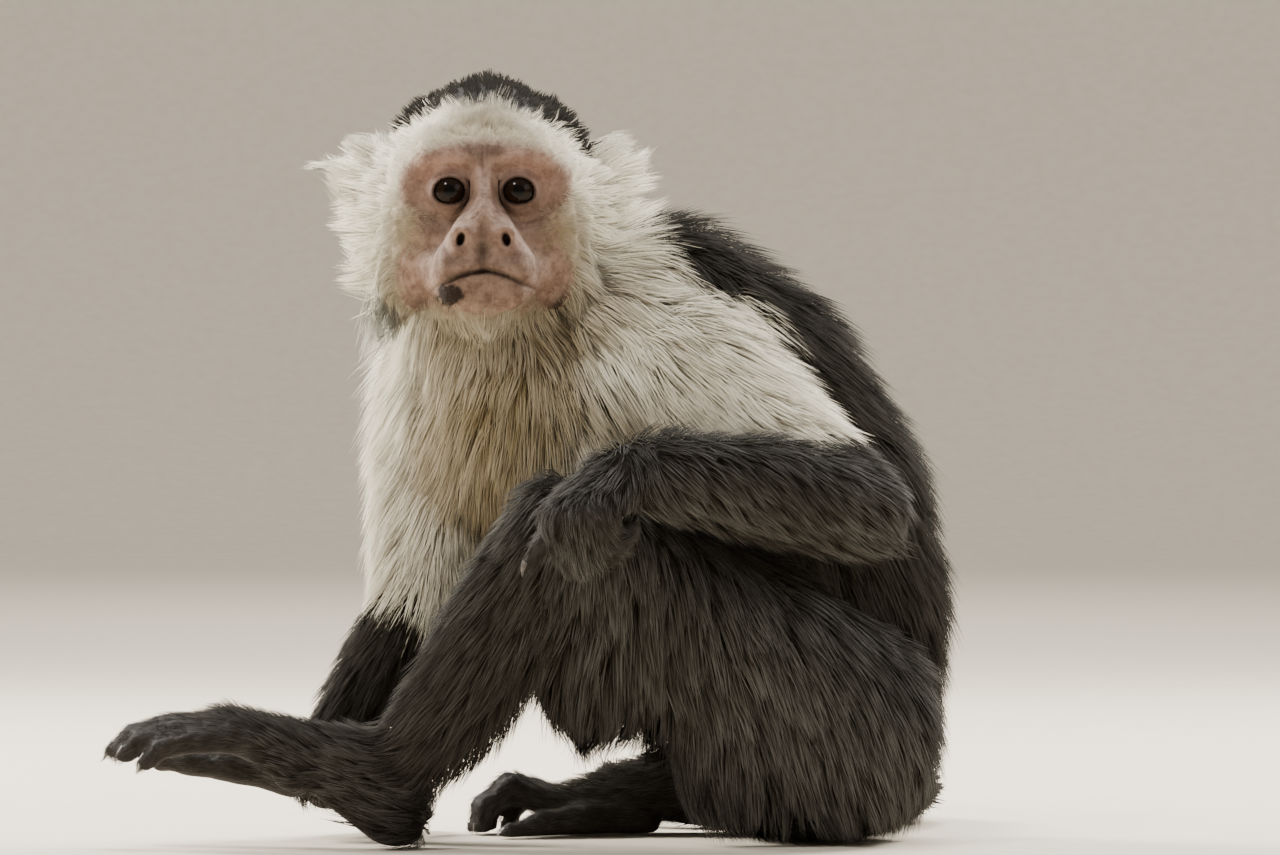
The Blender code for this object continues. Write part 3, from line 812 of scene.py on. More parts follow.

# The pale hair of the head. Each row: on one side or both, the place (left, ahead, up) and its radius, then
# the length, lift, thickness, density and tan of the hair, and the silver of the dark hairs among it. The
# deepest tan, under the chin, is painted shade, and the silver is silver tips with painted sheen.
ONE = (1,)
BOTH = (1, -1)
HEAD_COAT = [
    (ONE, (0, 8, 20), 20, 12, 7, 0.5, 1.5, 0.05),
    (ONE, (0, -12, 18), 22, 15, 8, 0.6, 1.2, 0.05),
    (ONE, (0, -30, 0), 16, 20, 9, 0.7, 1.0, 0.05),
    (ONE, (0, 34, 12), 14, 5.5, 2, 0.36, 2.2, 0.35),
    (ONE, (0, 26, 22), 14, 7.5, 2.6, 0.42, 2.0, 0.2),
    (BOTH, (16, 26, 22), 12, 7.5, 2.6, 0.42, 2.0, 0.05),
    (BOTH, (20, 4, 22), 14, 12, 6.5, 0.46, 1.8, 0.05),
    (BOTH, (28, -6, 22), 12, 14, 8, 0.46, 1.7, 0.05),
    (BOTH, (24, 16, 14), 14, 15, 7, 0.46, 1.8, 0.05),
    (BOTH, (28, 22, -4), 13, 18, 10, 0.44, 1.9, 0.05),
    (BOTH, (27, 8, -8), 15, 33, 24, 0.5, 1.7, 0.05),
    (BOTH, (26, 8, -26), 15, 38, 30, 0.5, 1.7, 0.05),
    (BOTH, (25, -8, -4), 15, 30, 18, 0.6, 1.3, 0.05),
    (BOTH, (24, -8, 12), 15, 25, 15, 0.6, 1.3, 0.05),
    (BOTH, (30, 8, -36), 14, 42, 30, 0.48, 1.8, 0.1),
    (BOTH, (40, -6, 20), 8, 17, 9, 0.46, 1.7, 0.05),
    (BOTH, (25, 22, -34), 13, 14, 7, 0.42, 1.8, 0.4),
    (ONE, (-33, 6, -43), 9, 36, 20, 0.48, 1.9, -0.2),
    (BOTH, (47, -9, 12), 4, 21, 11, 0.5, 1.7, 0.05),
    (ONE, (0, 40, -41), 17, 11, 5.5, 0.44, 2, 0.55),
    (ONE, (0, 24, -46), 16, 17, 8, 0.46, 1.5, 0.7),
    (ONE, (30, 10, -46), 10, 20, 9, 0.48, 1.5, 1),
    (ONE, (0, 46, -14), 16, 2.2, 0.5, 0.18, 0.5, 0.3),
    (BOTH, (10, 42, -30), 18, 2.6, 0.9, 0.2, 0.8, 0.9),
    (BOTH, (19, 40, -38), 5, 4, 1.2, 0.24, 1.3, 0.9),
    (BOTH, (29, 30, -17), 6, 10, 4, 0.4, 2.3, 0.4),
    (BOTH, (22, 34, -14), 12, 5.5, 1.6, 0.3, 1.9, 1),
    (BOTH, (19, 38, 2), 11, 2.2, 0.6, 0.18, 0.5, 0.4),
    (BOTH, (32, 29, 6), 8, 14, 6.5, 0.46, 2.4, 0.05),
    (BOTH, (33, 27, -9), 8, 15, 7, 0.46, 2.3, 0.1),
    (BOTH, (11, 40, 19), 7, 7, 2.6, 0.34, 2.1, 0.9),
    (BOTH, (25, 34, 17), 8, 10, 4.6, 0.4, 2.7, 0.15),
    (ONE, (0, 39, 20), 8, 7, 2.6, 0.34, 2.1, 1.2),
    (BOTH, (24, 34, -18), 8, 7, 2.6, 0.34, 1.7, 1),
    (ONE, (-29, 28, -38), 9, 9, 3, 0.36, 2, 0.95, 0.3),
    (BOTH, (33, 24, -30), 6, 11, 4, 0.36, 2.4, 0.5),
    (BOTH, (29, 30, -48), 6, 10, 3, 0.36, 2.4, 0.8, 0.5),
]
for sides, (left, ahead, up), radius, *hair in HEAD_COAT:
    for sign in sides:
        spot("head", head_point(sign * left, ahead, up), radius, pale=1, **dict(zip(HAIR, hair)))

# Neck, chest and belly: tan hair that parts under the chin and sweeps out to either side. The deepest
# tan, under the chin, down the left of the neck and low on the chest above the knee, is painted shade.
CHEST_HAIR = dict(zip(HAIR, (24, 9, 0.62, 1.25)))
CHEST_COAT = [  # place and radius in millimetres, flow, pale, tan with painted shade
    ((-134, -14, 206), 12, (-0.05, -0.1, -1), 1, 0.95),
    ((-152, -8, 200), 12, (-0.4, -0.2, -0.95), 1, 0.7),
    ((-112, -16, 200), 12, (0.35, -0.2, -0.9), 1, 1),
    ((-130, -22, 178), 12, (-0.15, -0.1, -1), 1, 1),
    ((-108, -20, 176), 12, (0.2, -0.1, -1), 1, 1),
    ((-150, -14, 172), 12, (-0.6, -0.2, -0.8), 1, 0.8),
    ((-152, -6, 150), 12, (-0.45, 0, -0.9), 1, 0.75),
    ((-128, -12, 148), 12, (-0.2, 0, -1), 1, 1),
    ((-104, -10, 140), 12, (0.1, 0, -1), 0, 0),
    ((-70, -10, 130), 14, (0.2, 0, -1), 0, 0),
    ((-140, 20, 150), 14, (-0.3, 0.1, -1), 1, 0.5),
    ((-100, 0, 120), 14, (0.1, 0, -1), 0, 0),
    ((-100, -18, 214), 13, (0.75, -0.3, -0.5), 1, 0.7),
    ((-104, 14, 220), 14, (0.75, 0.3, -0.5), 1, 0.3),
    ((-140, 22, 205), 14, (-0.6, 0.4, -0.7), 1, 0.2),
    ((-165, -10, 186), 9, (-0.5, -0.2, -0.9), 1, 0.6),
    ((-84, -30, 196), 14, (0.75, -0.3, -0.6), 1, 0.12),
    ((-90, -34, 172), 12, (0.5, -0.3, -0.8), 1, 0.7),
]
for place, radius, flow, pale, tan in CHEST_COAT:
    spot("chest", millimetres(*place), radius, flow=flow, pale=pale, tan=tan, **CHEST_HAIR)

# Everywhere else. Each row: the group, the run of balls, the flow, the back of a hand or foot, the hair.
HAND_MIDDLE = left_hand[1][0]
BODY_COAT = [
    # The back is black from the nape down the spine, and the hair hangs at the seat.
    ("back", [nape, withers, rib_cage], None, None, 26, 13, 0.66, 0.9, 0.2, 0.1, 1),
    ("back", [rib_cage, middle_back, waist, pelvis], None, None, 26, 13, 0.66, 0.9, 0, 0.1),
    ("back", [body_ball(-50, -16, 168, 20)], (0.75, -0.1, -0.6), None, 26, 13, 0.66, 0.9, 0, 0.1, 1),
    ("back", [body_ball(-8, 0, 40, 34)], (0.1, 0, -1), None, 27, 10, 0.8, 1, 0, 0.2),
    ("back", [body_ball(-8, 0, 20, 30)], (0.1, 0, -1), None, 18, 5, 0.8, 0.7),
    # The arms: a white mantle over shoulder and upper arm, black below. On the left forearm, which lies
    # across the knee, the hair runs back to the elbow.
    ("arm_left", left_arm[:2], (0.75, -0.25, -0.6), None, 21, 8, 0.62, 1.3, (0.22, 0.05), 0, 1),
    # Towards the elbow the dark hair is silver-tipped, partly as painted sheen.
    ("arm_left", left_arm[1:3], (0.72, -0.1, -0.68), None, (19, 16), 7, 0.6, 1.3, (0.1, 0), (0.3, 0.7),
     (0.95, -0.6)),
    ("arm_left", left_arm[5:2:-1], (0.62, -0.15, -0.72), None, (12, 16), (5, 7), 0.6, 1.3, 0, (0.5, 0.35)),
    ("arm_left", [ball(left_arm[4][0] + millimetres(-12, -2, 9), 9)], (0.7, -0.1, 0.15), None, 17, 13, 0.56,
     1.3, 0, 0.4),
    ("arm_left", [ball(left_arm[5][0] + millimetres(6, -2, -4), 7)], (0.45, -0.1, -0.9), None, 25, 9, 0.6,
     1.5, 0, 0.6),
    ("arm_right", right_arm[:3], (-0.3, -0.1, -0.95), None, (28, 19), (14, 6), 0.6, 1.1, (0.05, 0.3), 0,
     (1, 0.75)),
    ("arm_right", right_arm[2:], None, None, (17, 12), (6, 4), 0.56, 1.2, 0, 0.2, (0.2, 0)),
    # The legs: long hair hanging straight down over the thighs, shorter and silver-tipped along the shins.
    # The silver on thighs and shins is partly painted sheen.
    ("leg_left", left_thigh[1:], (0.05, 0, -1), None, (28, 18), (10, 7), 0.75, 1.15, 0, (0.5, 0.65)),
    ("leg_left", left_thigh[:2], (0.32, 0, -0.95), None, 28, 11, 0.8, 1.1, 0, 0.6),
    ("leg_left", [body_ball(-36, -37, 34, 20)], (0.1, 0, -1), None, 30, 7, 0.8, 1, 0, 0.45),
    ("leg_left", [body_ball(-98, -48, 72, 15)], (-0.1, 0, -1), None, 32, 8, 0.56, 1.6, 0.35, 0.35),
    ("leg_left", [body_ball(-70, -42, 58, 15)], (0.05, 0, -1), None, 34, 7, 0.6, 1.4, 0.2, 0.25),
    ("leg_left", left_shin, None, None, (17, 20), (6.5, 8), 0.56, 1.3, 0, (0.3, 0.05)),
    ("leg_right", right_thigh, (0.1, 0, -1), None, 26, 10, 0.8, 0.65),
    ("leg_right", right_shin, None, None, 20, (8, 5), 0.7, 0.65),
    ("tail", tail, None, None, (22, 15), (6.5, 5), 0.7, 0.6, 0, 0.15),
    # Hands and feet: short hair on their backs only, the palms and soles bare. The silver of that hair is
    # partly painted sheen.
    ("hands", left_hand, None, hand_back, (14, 12), (4.5, 3.5), 0.4, 2, 0, 0.6),
    ("hands", [ball(HAND_MIDDLE + millimetres(2, 1, -13), 14)], (0.1, -0.1, -1), None, 12, 3.6, 0.4, 2.1,
     0, 0.7),
    ("hands", [ball(HAND_MIDDLE + millimetres(-3, -4, -4), 10)], (0.05, -0.1, -1), None, 13, 4, 0.4, 2.1,
     0, 0.7),
    ("hands", right_hand, None, towards(-112, 78), (11, 7), (3, 2), 0.42, 1.3),
    ("feet", left_foot, None, left_foot_up, (14, 10), (6, 4.2), 0.46, 2, 0, 0.45),
    ("feet", right_foot, None, UP, (14, 10), (6, 4.5), 0.4, 1.7, 0, 0.15),
]
for group, balls, flow, back, *hair in BODY_COAT:
    grow(group, balls, flow, back, **dict(zip(HAIR, hair)))

lie = np.array(LIE)
column = {name: index for index, name in enumerate(FIELDS)}


def coat_fields(points):
    """The coat's values at the points, the lie of the hair, the back of the hand or foot, and the group."""
    total = np.zeros((len(points), len(FIELDS)))
    shares = np.zeros((len(points), len(GROUPS)))
    for start in range(0, len(points), AT_ONCE):
        part = slice(start, start + AT_ONCE)
        away = np.linalg.norm(points[part, None, :] - lie[None, :, :3], axis=2) - lie[:, column["reach"]]
        weight = np.exp(-(away - away.min(axis=1, keepdims=True)) / BLEND)
        weight /= weight.sum(axis=1, keepdims=True)
        total[part] = weight @ lie
        for index in range(len(GROUPS)):
            shares[part, index] = weight[:, lie[:, column["group"]] == index].sum(axis=1)
    return total, shares


def unit(vectors):
    return vectors / np.maximum(np.linalg.norm(vectors, axis=1, keepdims=True), 1e-9)


fields, shares = coat_fields(places)
outward = normals(skin.data)
left, ahead, up = in_head(places)
side = np.abs(left)
in_head_share = shares[:, GROUPS.index("head")]

# Round the head the hair springs from the face like rays, and turns back along the head behind the cheeks.
temple = smooth_step(14, 28, side) * smooth_step(4, 16, up)
beside_jaw = smooth_step(-14, -28, up) * smooth_step(-46, -32, up)
hanging = 5 * smooth_step(-10, -40, up) + 12 * smooth_step(-34, -50, up)
rays = np.stack((
    left,
    9 + 12 * temple + 0.75 * np.clip(28 - ahead, 0, 60),
    (up + 10) * (1 - 0.75 * temple) * (1 - 0.4 * beside_jaw) - hanging,
), axis=1)
lower = 11 * smooth_step(8, 26, side)
over_crown = smooth_step(24, 34, up + lower)[:, None]
rays = unit(unit(rays) * (1 - over_crown) + np.array([0, 1, 0.1]) * over_crown)
flow = fields[:, 4:7] * (1 - in_head_share)[:, None] + rays * in_head_share[:, None]
flow = unit(averaged(unit(flow), edges, 12))
flow = unit(flow - outward * (flow * outward).sum(axis=1, keepdims=True))

# White and black: the cap on the crown, the black nape and back, and the white of the shoulders.
def meander(x, y, z):
    """Between -1 and 1, and never the same along an edge for more than a finger's width."""
    return math.sin(x * 310 + 2 * math.sin(z * 230)) * math.sin(y * 270 + z * 330)


wander = np.array([meander(*place) for place in places])
pale = smooth_step(0.38, 0.62, fields[:, column["pale"]] + 0.06 * wander)
height = places[:, 2] / MM
from_breast = np.hypot(places[:, 0] / MM + 167, height - 56.3)
from_breast += 2.5 * wander + 7 * smooth_step(200, 226, height)
pale *= 1 - smooth_step(198, 203, from_breast) * (1 - in_head_share)
pale = np.maximum(pale, smooth_step(0.15, 0.5, in_head_share))
cap_edge = 32.5 - 0.25 * np.clip(12 - ahead, 0, 28) - 0.012 * left ** 2 - 0.1 * left
cap_edge += 1.4 * np.minimum(0, ahead + 16) + 3.5 * np.maximum(0, side - 36)
cap = smooth_step(-3.5, 3.5, up - cap_edge + 1.5 * wander) * smooth_step(0.3, 0.7, in_head_share)
pale *= 1 - cap
# Tan, deepened into painted shade under the chin and down the chest, and the silver tips of dark hair,
# partly painted sheen.
tan = np.clip(fields[:, column["tan"]], 0, 1)
grizzle = np.clip(fields[:, column["grizzle"]], 0, 1) * (1 - cap)

# Bare skin: the mask of the face, and palms and soles.
fray = 0.035 * np.sin(left * 1.7 + 2 * np.sin(up * 0.9)) + 0.03 * np.sin(up * 2.1 + 1.7 * np.sin(left * 1.3))
eye_band = np.hypot(left / 31, (up - 0.5) / 14.5) + fray
muzzle_reach = ((side / 20.5) ** 3 + (np.abs(up + 28.5) / 19.5) ** 3) ** (1 / 3) + fray
jowl_reach = np.hypot((side - 25.5) / 8, (up + 35) / 12) + 2 * fray
cheek_reach = np.hypot(left / 23.5, (up + 17) / 20) + 2 * fray
on_face = smooth_step(16, 24, ahead) * smooth_step(0.3, 0.7, in_head_share)
mask = on_face * np.maximum.reduce([
    smooth_step(1.14, 0.9, eye_band),
    smooth_step(1.1, 0.9, muzzle_reach),
    0.8 * smooth_step(1.15, 0.8, jowl_reach),
    0.7 * smooth_step(1.2, 0.8, cheek_reach),
])
nearest_part = np.minimum.reduce([eye_band, muzzle_reach, jowl_reach, cheek_reach])
blush = on_face * smooth_step(1.36, 1.0, nearest_part)
# Dark hair edges the pouches of the cheeks from below, and a few hairs the dark patch of the lip.
POUCH_EDGE = [(32, -38), (29.5, -45), (24, -50.5), (16, -53), (9, -55)]
fringe = smooth_step(20, 27, ahead) * on_face * near_line(side, up, POUCH_EDGE, 1.8)
fringe *= np.where(left < 0, smooth_step(28, 22, side), 1)
lip_patch = smooth_step(1.5, 0.6, np.hypot((left + 13.2) / 4.6, (up + 42.6) / 3.5) + 2.5 * fray)
hair_pale = pale * (1 - np.clip(0.55 * fringe + lip_patch * on_face, 0, 1))
back_of = fields[:, 7:10]
held = smooth_step(0.4, 0.8, np.linalg.norm(back_of, axis=1))
palm = smooth_step(-0.5, -0.75, (unit(back_of) * outward).sum(axis=1)) * held
bare = np.maximum(blush, palm)


def keep_vector(mesh, name, first, second, third):
    """Stores three values at each vertex as one attribute, which the materials read."""
    attribute = mesh.attributes.new(name, "FLOAT_VECTOR", "POINT")
    values = np.stack((first, second, third), axis=1).astype(np.float32)
    attribute.data.foreach_set("vector", values.ravel())


# Flush round the eyes and over the cheeks, soot on the bridge, under the eyes and at the lips' corners,
# and painted shade down the groove between the nostrils, in the nostrils and along the line of the mouth.
flush = 0.8 * hill(side, up, (19, 4), (9, 8))
flush += 0.3 * hill(side, up, (11, -24), (4, 4)) + 0.2 * hill(side, up, (30, -36), (6, 8))
flush = np.clip(flush, 0, 1) * blush
lid_edge = 0.7 * np.exp(-(((lid - 1.03) / 0.12) ** 2)) + 0.3 * np.exp(-(((lid - 1.32) / 0.3) ** 2))
soot_and_shade = 1.15 * lip_patch + 0.5 * fringe + lid_edge * near_eye
soot_and_shade += 0.34 * smooth_step(1.1, 0.7, np.hypot(side / 21, (up + 34) / 14))
for share, middle, spread in (
    (0.45, (22, -15), (6, 6)), (0.2, (8, -8), (3, 5)), (0.35, (29, -4), (4, 7)), (0.5, (28, -47), (5, 4)),
):
    soot_and_shade += share * hill(side, up, middle, spread)
# Painted shade down the groove between the nostrils.
soot_and_shade += 0.45 * near_line(left, up, [(0, -13), (0, -32)], 1.8)
# Soot at the top of the bridge, and painted shade along the line of the mouth.
soot_and_shade += 0.5 * near_line(side, up, [(8, 16), (2, 12), (0, 16)], 2) + 0.55 * near_line(left, up, MOUTH, 0.7)
soot_and_shade = np.clip(soot_and_shade, 0, 1) * blush
# Painted shade in the nostrils: near black deep in the slots.
soot_and_shade = np.maximum(soot_and_shade, smooth_step(1.0, 0.6, slot) * (front > 0))
keep_vector(skin.data, "coat", pale, tan, grizzle)
keep_vector(skin.data, "skin", bare, flush, soot_and_shade)


# ---------------------------------------------------------------- the skin's surface
# Pink and brown on the face, with painted shade in the nostrils and along the creases of nose and mouth;
# near black on hands and feet, and tinted by the underfur everywhere else.

WHITE_HAIR = colour(1.0, 0.95, 0.79)
# Tan hair, its colour also standing for painted shade under the chin and down the chest.
TAN_AND_SHADE_HAIR = colour(0.215, 0.163, 0.078)
BLACK_HAIR = colour(0.01, 0.0075, 0.0045)
# Silver tips of dark hair, partly painted sheen.
SILVER_AND_SHEEN_HAIR = colour(0.18, 0.176, 0.165)

skin_finish = Finish("skin", Roughness=0.5, Specular_IOR_Level=0.2)
pale_v, tan_v, grizzle_v = skin_finish.attribute("coat")
bare_v, flush_v, soot_and_shade_v = skin_finish.attribute("skin")
blotch = skin_finish.noise(210, 4)
grain = skin_finish.noise(900, 3)
pores = skin_finish.noise(2600, 2)
pink = skin_finish.mix(blotch.step(0.35, 0.65), colour(0.29, 0.19, 0.145), colour(0.15, 0.088, 0.064))
mottle = skin_finish.noise(480, 3)
pink = skin_finish.mix(mottle.step(0.5, 0.72) * 0.5, pink, colour(0.12, 0.07, 0.052))
pink = skin_finish.mix(grain.step(0.3, 0.75) * 0.35, pink, colour(0.34, 0.245, 0.19))
pink = skin_finish.mix(flush_v * 0.4, pink, colour(0.29, 0.14, 0.11))
# Soot darkens the skin, and painted shade the nostrils and the creases of nose and mouth.
pink = skin_finish.mix((soot_and_shade_v + (grain - 0.5) * 0.5 * soot_and_shade_v).clipped(), pink, colour(0.018, 0.012, 0.009))
hide = skin_finish.mix(pale_v, colour(0.02, 0.016, 0.014), pink)
# Under pale hair the skin takes the hair's tan, with its painted shade.
pale_fur = skin_finish.mix(tan_v, colour(0.62, 0.55, 0.42), colour(0.17, 0.12, 0.062))
under = skin_finish.mix(pale_v, colour(0.018, 0.014, 0.012), pale_fur)
surface = skin_finish.mix(bare_v, under, hide)
folds = skin_finish.noise(520, 3) - 0.5
relief = grain * 0.7 + pores * 0.6 + 3 * folds.math("ABSOLUTE", folds)
skin_finish.set(
    Base_Color=surface,
    Roughness=(0.5 + 0.25 * blotch + 0.4 * soot_and_shade_v).clipped(),
    Normal=skin_finish.bump(relief, 0.4 * MM, 0.7),
)
skin.data.materials.clear()
skin.data.materials.append(skin_finish.material)
skin.data.shade_smooth()
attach(skin, "root")
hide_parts(*[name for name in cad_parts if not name.startswith("eye")])


# ---------------------------------------------------------------- eyes
# Wet brown eyes, nearly filled by the iris, each one ball with the cornea standing proud in front.

PUPIL = 14.0  # degrees from the axis
IRIS = 41.0
CORNEA_RISE = 0.45 * MM
eye_finish = Finish("eye", Roughness=0.03, IOR=1.36, Specular_IOR_Level=0.22)
edge_v, ring_v, spoke_v = eye_finish.attribute("iris")
spokes = eye_finish.node("CombineXYZ", {}, {"X": spoke_v, "Y": ring_v})
fibres = eye_finish.node("TexNoise", {"noise_dimensions": "2D"}, {"Vector": spokes, "Scale": 9.0})
brown = eye_finish.mix(fibres.step(0.35, 0.7), colour(0.004, 0.002, 0.001), colour(0.018, 0.009, 0.004))
brown = eye_finish.mix(edge_v.step(33 / 90, 40 / 90), brown, colour(0.004, 0.0025, 0.002))
ball_colour = eye_finish.mix(edge_v.step(IRIS / 90, (IRIS + 3) / 90), brown, colour(0.06, 0.04, 0.032))
outside_pupil = edge_v.step((PUPIL - 1) / 90, (PUPIL + 1.5) / 90)
ball_colour = eye_finish.mix(outside_pupil, colour(0.002, 0.002, 0.002), ball_colour)
eye_finish.set(Base_Color=ball_colour)
for name, sign in (("left", 1), ("right", -1)):
    bm = bmesh.new()
    bmesh.ops.create_uvsphere(bm, u_segments=64, v_segments=48, radius=1)
    points = np.array([vertex.co for vertex in bm.verts])
    angle = np.degrees(np.arccos(np.clip(points[:, 2], -1, 1)))
    radius = EYE_RADIUS * MM + CORNEA_RISE * smooth_step(IRIS, 8, angle)
    around = np.arctan2(points[:, 1], points[:, 0])
    low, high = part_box("eye_" + name)
    middle = (low + high) / 2
    turned = points[:, [0, 2, 1]] * np.array([1, -1, 1]) * radius[:, None]
    bmesh.ops.reverse_faces(bm, faces=bm.faces[:])
    for vertex, place in zip(bm.verts, turned):
        vertex.co = middle + Vector(place)
    bmesh.ops.recalc_face_normals(bm, faces=bm.faces[:])
    mesh = to_mesh(bm, "eye_" + name)
    keep_vector(mesh, "iris", angle / 90, angle / 20, around / math.pi * 4)
    mesh.shade_smooth()
    mesh.materials.append(eye_finish.material)
    eye = new_object(f"eyeball_{name}", mesh)
    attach(eye, "root")
    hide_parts("eye_" + name)


# ---------------------------------------------------------------- nails
# Dark curved nails, one at the tip of each finger and toe: arched plates that narrow and hook to a point.

NAIL_STEPS = 8
NAIL_SIDES = 8
NAIL_ROOT = 0.35  # of its length, sunk under the skin at the back

bm = bmesh.new()
for place, along, back, (nail_length, nail_width) in NAILS:
    along, back = along.normalized(), back.normalized()
    across = along.cross(back)
    sections = []
    for step in range(NAIL_STEPS + 1):
        share = step / NAIL_STEPS
        run = (share - NAIL_ROOT) * nail_length
        drop = 0.2 * run + 1.4 * max(0.0, share - 0.35) ** 2 * nail_length * 0.45
        half = nail_width / 2 * (1 - 0.86 * share ** 2.6)
        arch = nail_width * 0.3 * (1 - 0.75 * share ** 2)
        ring = []
        for side_step in range(NAIL_SIDES + 1):
            angle = math.pi * side_step / NAIL_SIDES
            offset = across * math.cos(angle) * half + back * (math.sin(angle) * arch - drop)
            ring.append(bm.verts.new(place + (along * run + offset) * MM))
        ring.append(bm.verts.new(place + (along * run - back * (drop + arch * 0.15)) * MM))
        sections.append(ring)
    for near, far in zip(sections, sections[1:]):
        for one in range(len(near)):
            two = (one + 1) % len(near)
            bm.faces.new((near[one], near[two], far[two], far[one]))
    bm.faces.new(reversed(sections[0]))
    bm.faces.new(sections[-1])
bmesh.ops.recalc_face_normals(bm, faces=bm.faces[:])
for vertex, place in zip(bm.verts, on_floor(np.array([vertex.co for vertex in bm.verts]))):
    vertex.co = place
mesh = to_mesh(bm, "nails")
mesh.shade_smooth()
mesh.set_sharp_from_angle(angle=math.radians(60))
horn = Finish("horn", Roughness=0.32)
streaks = horn.noise(420, 3)
horn.set(
    Base_Color=horn.mix(streaks.step(0.3, 0.7), colour(0.02, 0.016, 0.014), colour(0.075, 0.062, 0.055)),
    Roughness=0.26 + 0.2 * streaks,
    Normal=horn.bump(streaks, 0.1 * MM, 0.6),
)
mesh.materials.append(horn.material)
nails = new_object("nails", mesh)
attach(nails, "root")


# ---------------------------------------------------------------- coat
# Fur in thin pointed locks, each rooted in the skin, following the lie of the hair and drawn together in
# clumps. A lock is a flat three-sided blade that tapers to its tip. Each part of the body has its pieces.

LOCKS_PER_SQUARE_MM = 0.72
CLUMP_SHARE = 0.035  # locks that lead a clump
CLUMP_REACH = 7 * MM  # from a lock that leads to those that it draws in
PIECE_TRIANGLES = 195000
PATCH = 0.003  # of each lock on the bake's map
SINK = 0.6 * MM  # root below the skin
STRAIGHT = 11 * MM  # a shorter lock has no bend
SOFTNESS = 0.5  # how much a lock is shaded as the skin under it is
LIFTED = np.array([0, -0.4, 0.7])  # the thin pale locks of the head let light through from above

rng = np.random.default_rng(7)
mesh = skin.data
mesh.calc_loop_triangles()
corners = read(mesh.loop_triangles, "vertices", 3, int)
outward = normals(mesh)
flow = unit(flow - outward * (flow * outward).sum(axis=1, keepdims=True))

length = fields[:, column["length"]] * MM
lift = fields[:, column["lift"]] * MM
thickness = fields[:, column["thickness"]] * 0.78 * MM
density = fields[:, column["density"]] * (1 - 0.93 * smooth_step(0.5, 0.95, mask))
density *= 1 - smooth_step(0.15, 0.5, palm)
# Shorter and closer on the bare face, along the edge of the cheek pouches and round the edge of the cap.
hairline = np.exp(-((up - cap_edge + 3) / 4.5) ** 2) * in_head_share
bare_face = smooth_step(0.4, 1, mask)
for region, shorter, closer in ((bare_face, 0.5, 0.5), (fringe, 0.65, 0.75), (hairline, 0.38, 0.45)):
    length *= 1 - shorter * region
    lift *= 1 - closer * region
thickness *= 1 - 0.4 * bare_face
density *= np.where(places[:, 2] < 4 * MM, 0.25, 1.0) * (lid > 1.5)
hidden = smooth_step(-0.55, -0.9, outward[:, 2]) * 0.6
density *= 1 - hidden
# Under a thigh or an arm the hair hangs away from the skin.
hang = smooth_step(-0.1, -0.75, outward[:, 2]) * (places[:, 2] > 26 * MM) * (1 - in_head_share)
lift += hang * np.maximum(0, 0.62 * length - lift)

triangle = places[corners]
area = np.linalg.norm(np.cross(triangle[:, 1] - triangle[:, 0], triangle[:, 2] - triangle[:, 0]), axis=1) / 2
expected = area / MM ** 2 * density[corners].mean(axis=1) * LOCKS_PER_SQUARE_MM
running = np.cumsum(expected)
count = int(running[-1])
chosen = np.searchsorted(running, (np.arange(count) + rng.random(count)) * running[-1] / count)
chosen = np.minimum(chosen, len(corners) - 1)
bary = rng.dirichlet((1, 1, 1), count)


def at_roots(values):
    """Values at the skin's vertices, blended to each lock's root."""
    values = values if values.ndim > 1 else values[:, None]
    found = (values[corners[chosen]] * bary[:, :, None]).sum(axis=1)
    return found[:, 0] if found.shape[1] == 1 else found


root = at_roots(places)
root_out = unit(at_roots(outward))
root_flow = at_roots(flow)
tree = KDTree(len(places))
for index, place in enumerate(places):
    tree.insert(place, index)
tree.balance()

# Clumps: some locks lead, and each other lock keeps to the nearest of them.
headward = at_roots(in_head_share)
leads = np.flatnonzero(rng.random(count) < CLUMP_SHARE * (1.9 - 0.9 * headward))
lead_tree = KDTree(len(leads))
for index in leads:
    lead_tree.insert(root[index], int(index))
lead_tree.balance()
lead = np.array([lead_tree.find(place)[1] for place in root])
clump_turn = rng.normal(0, 1, count)[lead]
clump_tone = rng.random(count)[lead]
clump_rise = rng.normal(1, 0.16, count)[lead]
own_turn = rng.normal(0, 1, count)
tone = rng.random(count)
turn = np.radians(10 * clump_turn + 6 * own_turn)[:, None]
sideways = np.cross(root_out, root_flow)
root_flow = unit(root_flow * np.cos(turn) + sideways * np.sin(turn))
lock_length = at_roots(length) * np.clip(rng.normal(1, 0.17, count), 0.5, 1.5)
lock_lift = at_roots(lift) * clump_rise * np.clip(rng.normal(1, 0.22, count), 0.3, 1.8)
lock_width = at_roots(thickness) * np.clip(rng.normal(1, 0.15, count), 0.6, 1.5)

BENDS = 3
rise = np.clip(lock_lift / (0.62 * lock_length), 0.02, 1.15)
path = np.empty((count, BENDS + 1, 3))
path[:, 0] = root - root_out * SINK
heading, upward = root_flow, root_out
for bend in range(BENDS):
    share = (bend + 0.5) / BENDS
    angle = (rise * (1.0 - 0.8 * share))[:, None]
    step = unit(heading * np.cos(angle) + upward * np.sin(angle))
    path[:, bend + 1] = path[:, bend] + step * (lock_length / BENDS)[:, None]
    below = np.array([tree.find(place)[1] for place in path[:, bend + 1]])
    upward = unit(outward[below] + upward * 0.6)
    rising = (heading * upward).sum(axis=1, keepdims=True)
    heading = unit(unit(flow[below] + heading * 1.2) - upward * rising * 0.5)
    height = ((path[:, bend + 1] - places[below]) * outward[below]).sum(axis=1)
    least = lock_lift * 0.5 * (bend + 1) / BENDS
    path[:, bend + 1] += outward[below] * np.clip(least - height, 0, 6 * MM)[:, None]
drawn = np.array([0, 0.14, 0.38, 0.66])[None, :, None]
spread = (root - root[lead])[:, None, :] * np.array([1, 0.85, 0.6, 0.35])[None, :, None]
close = np.linalg.norm(root - root[lead], axis=1) < CLUMP_REACH
target = path[lead] + spread
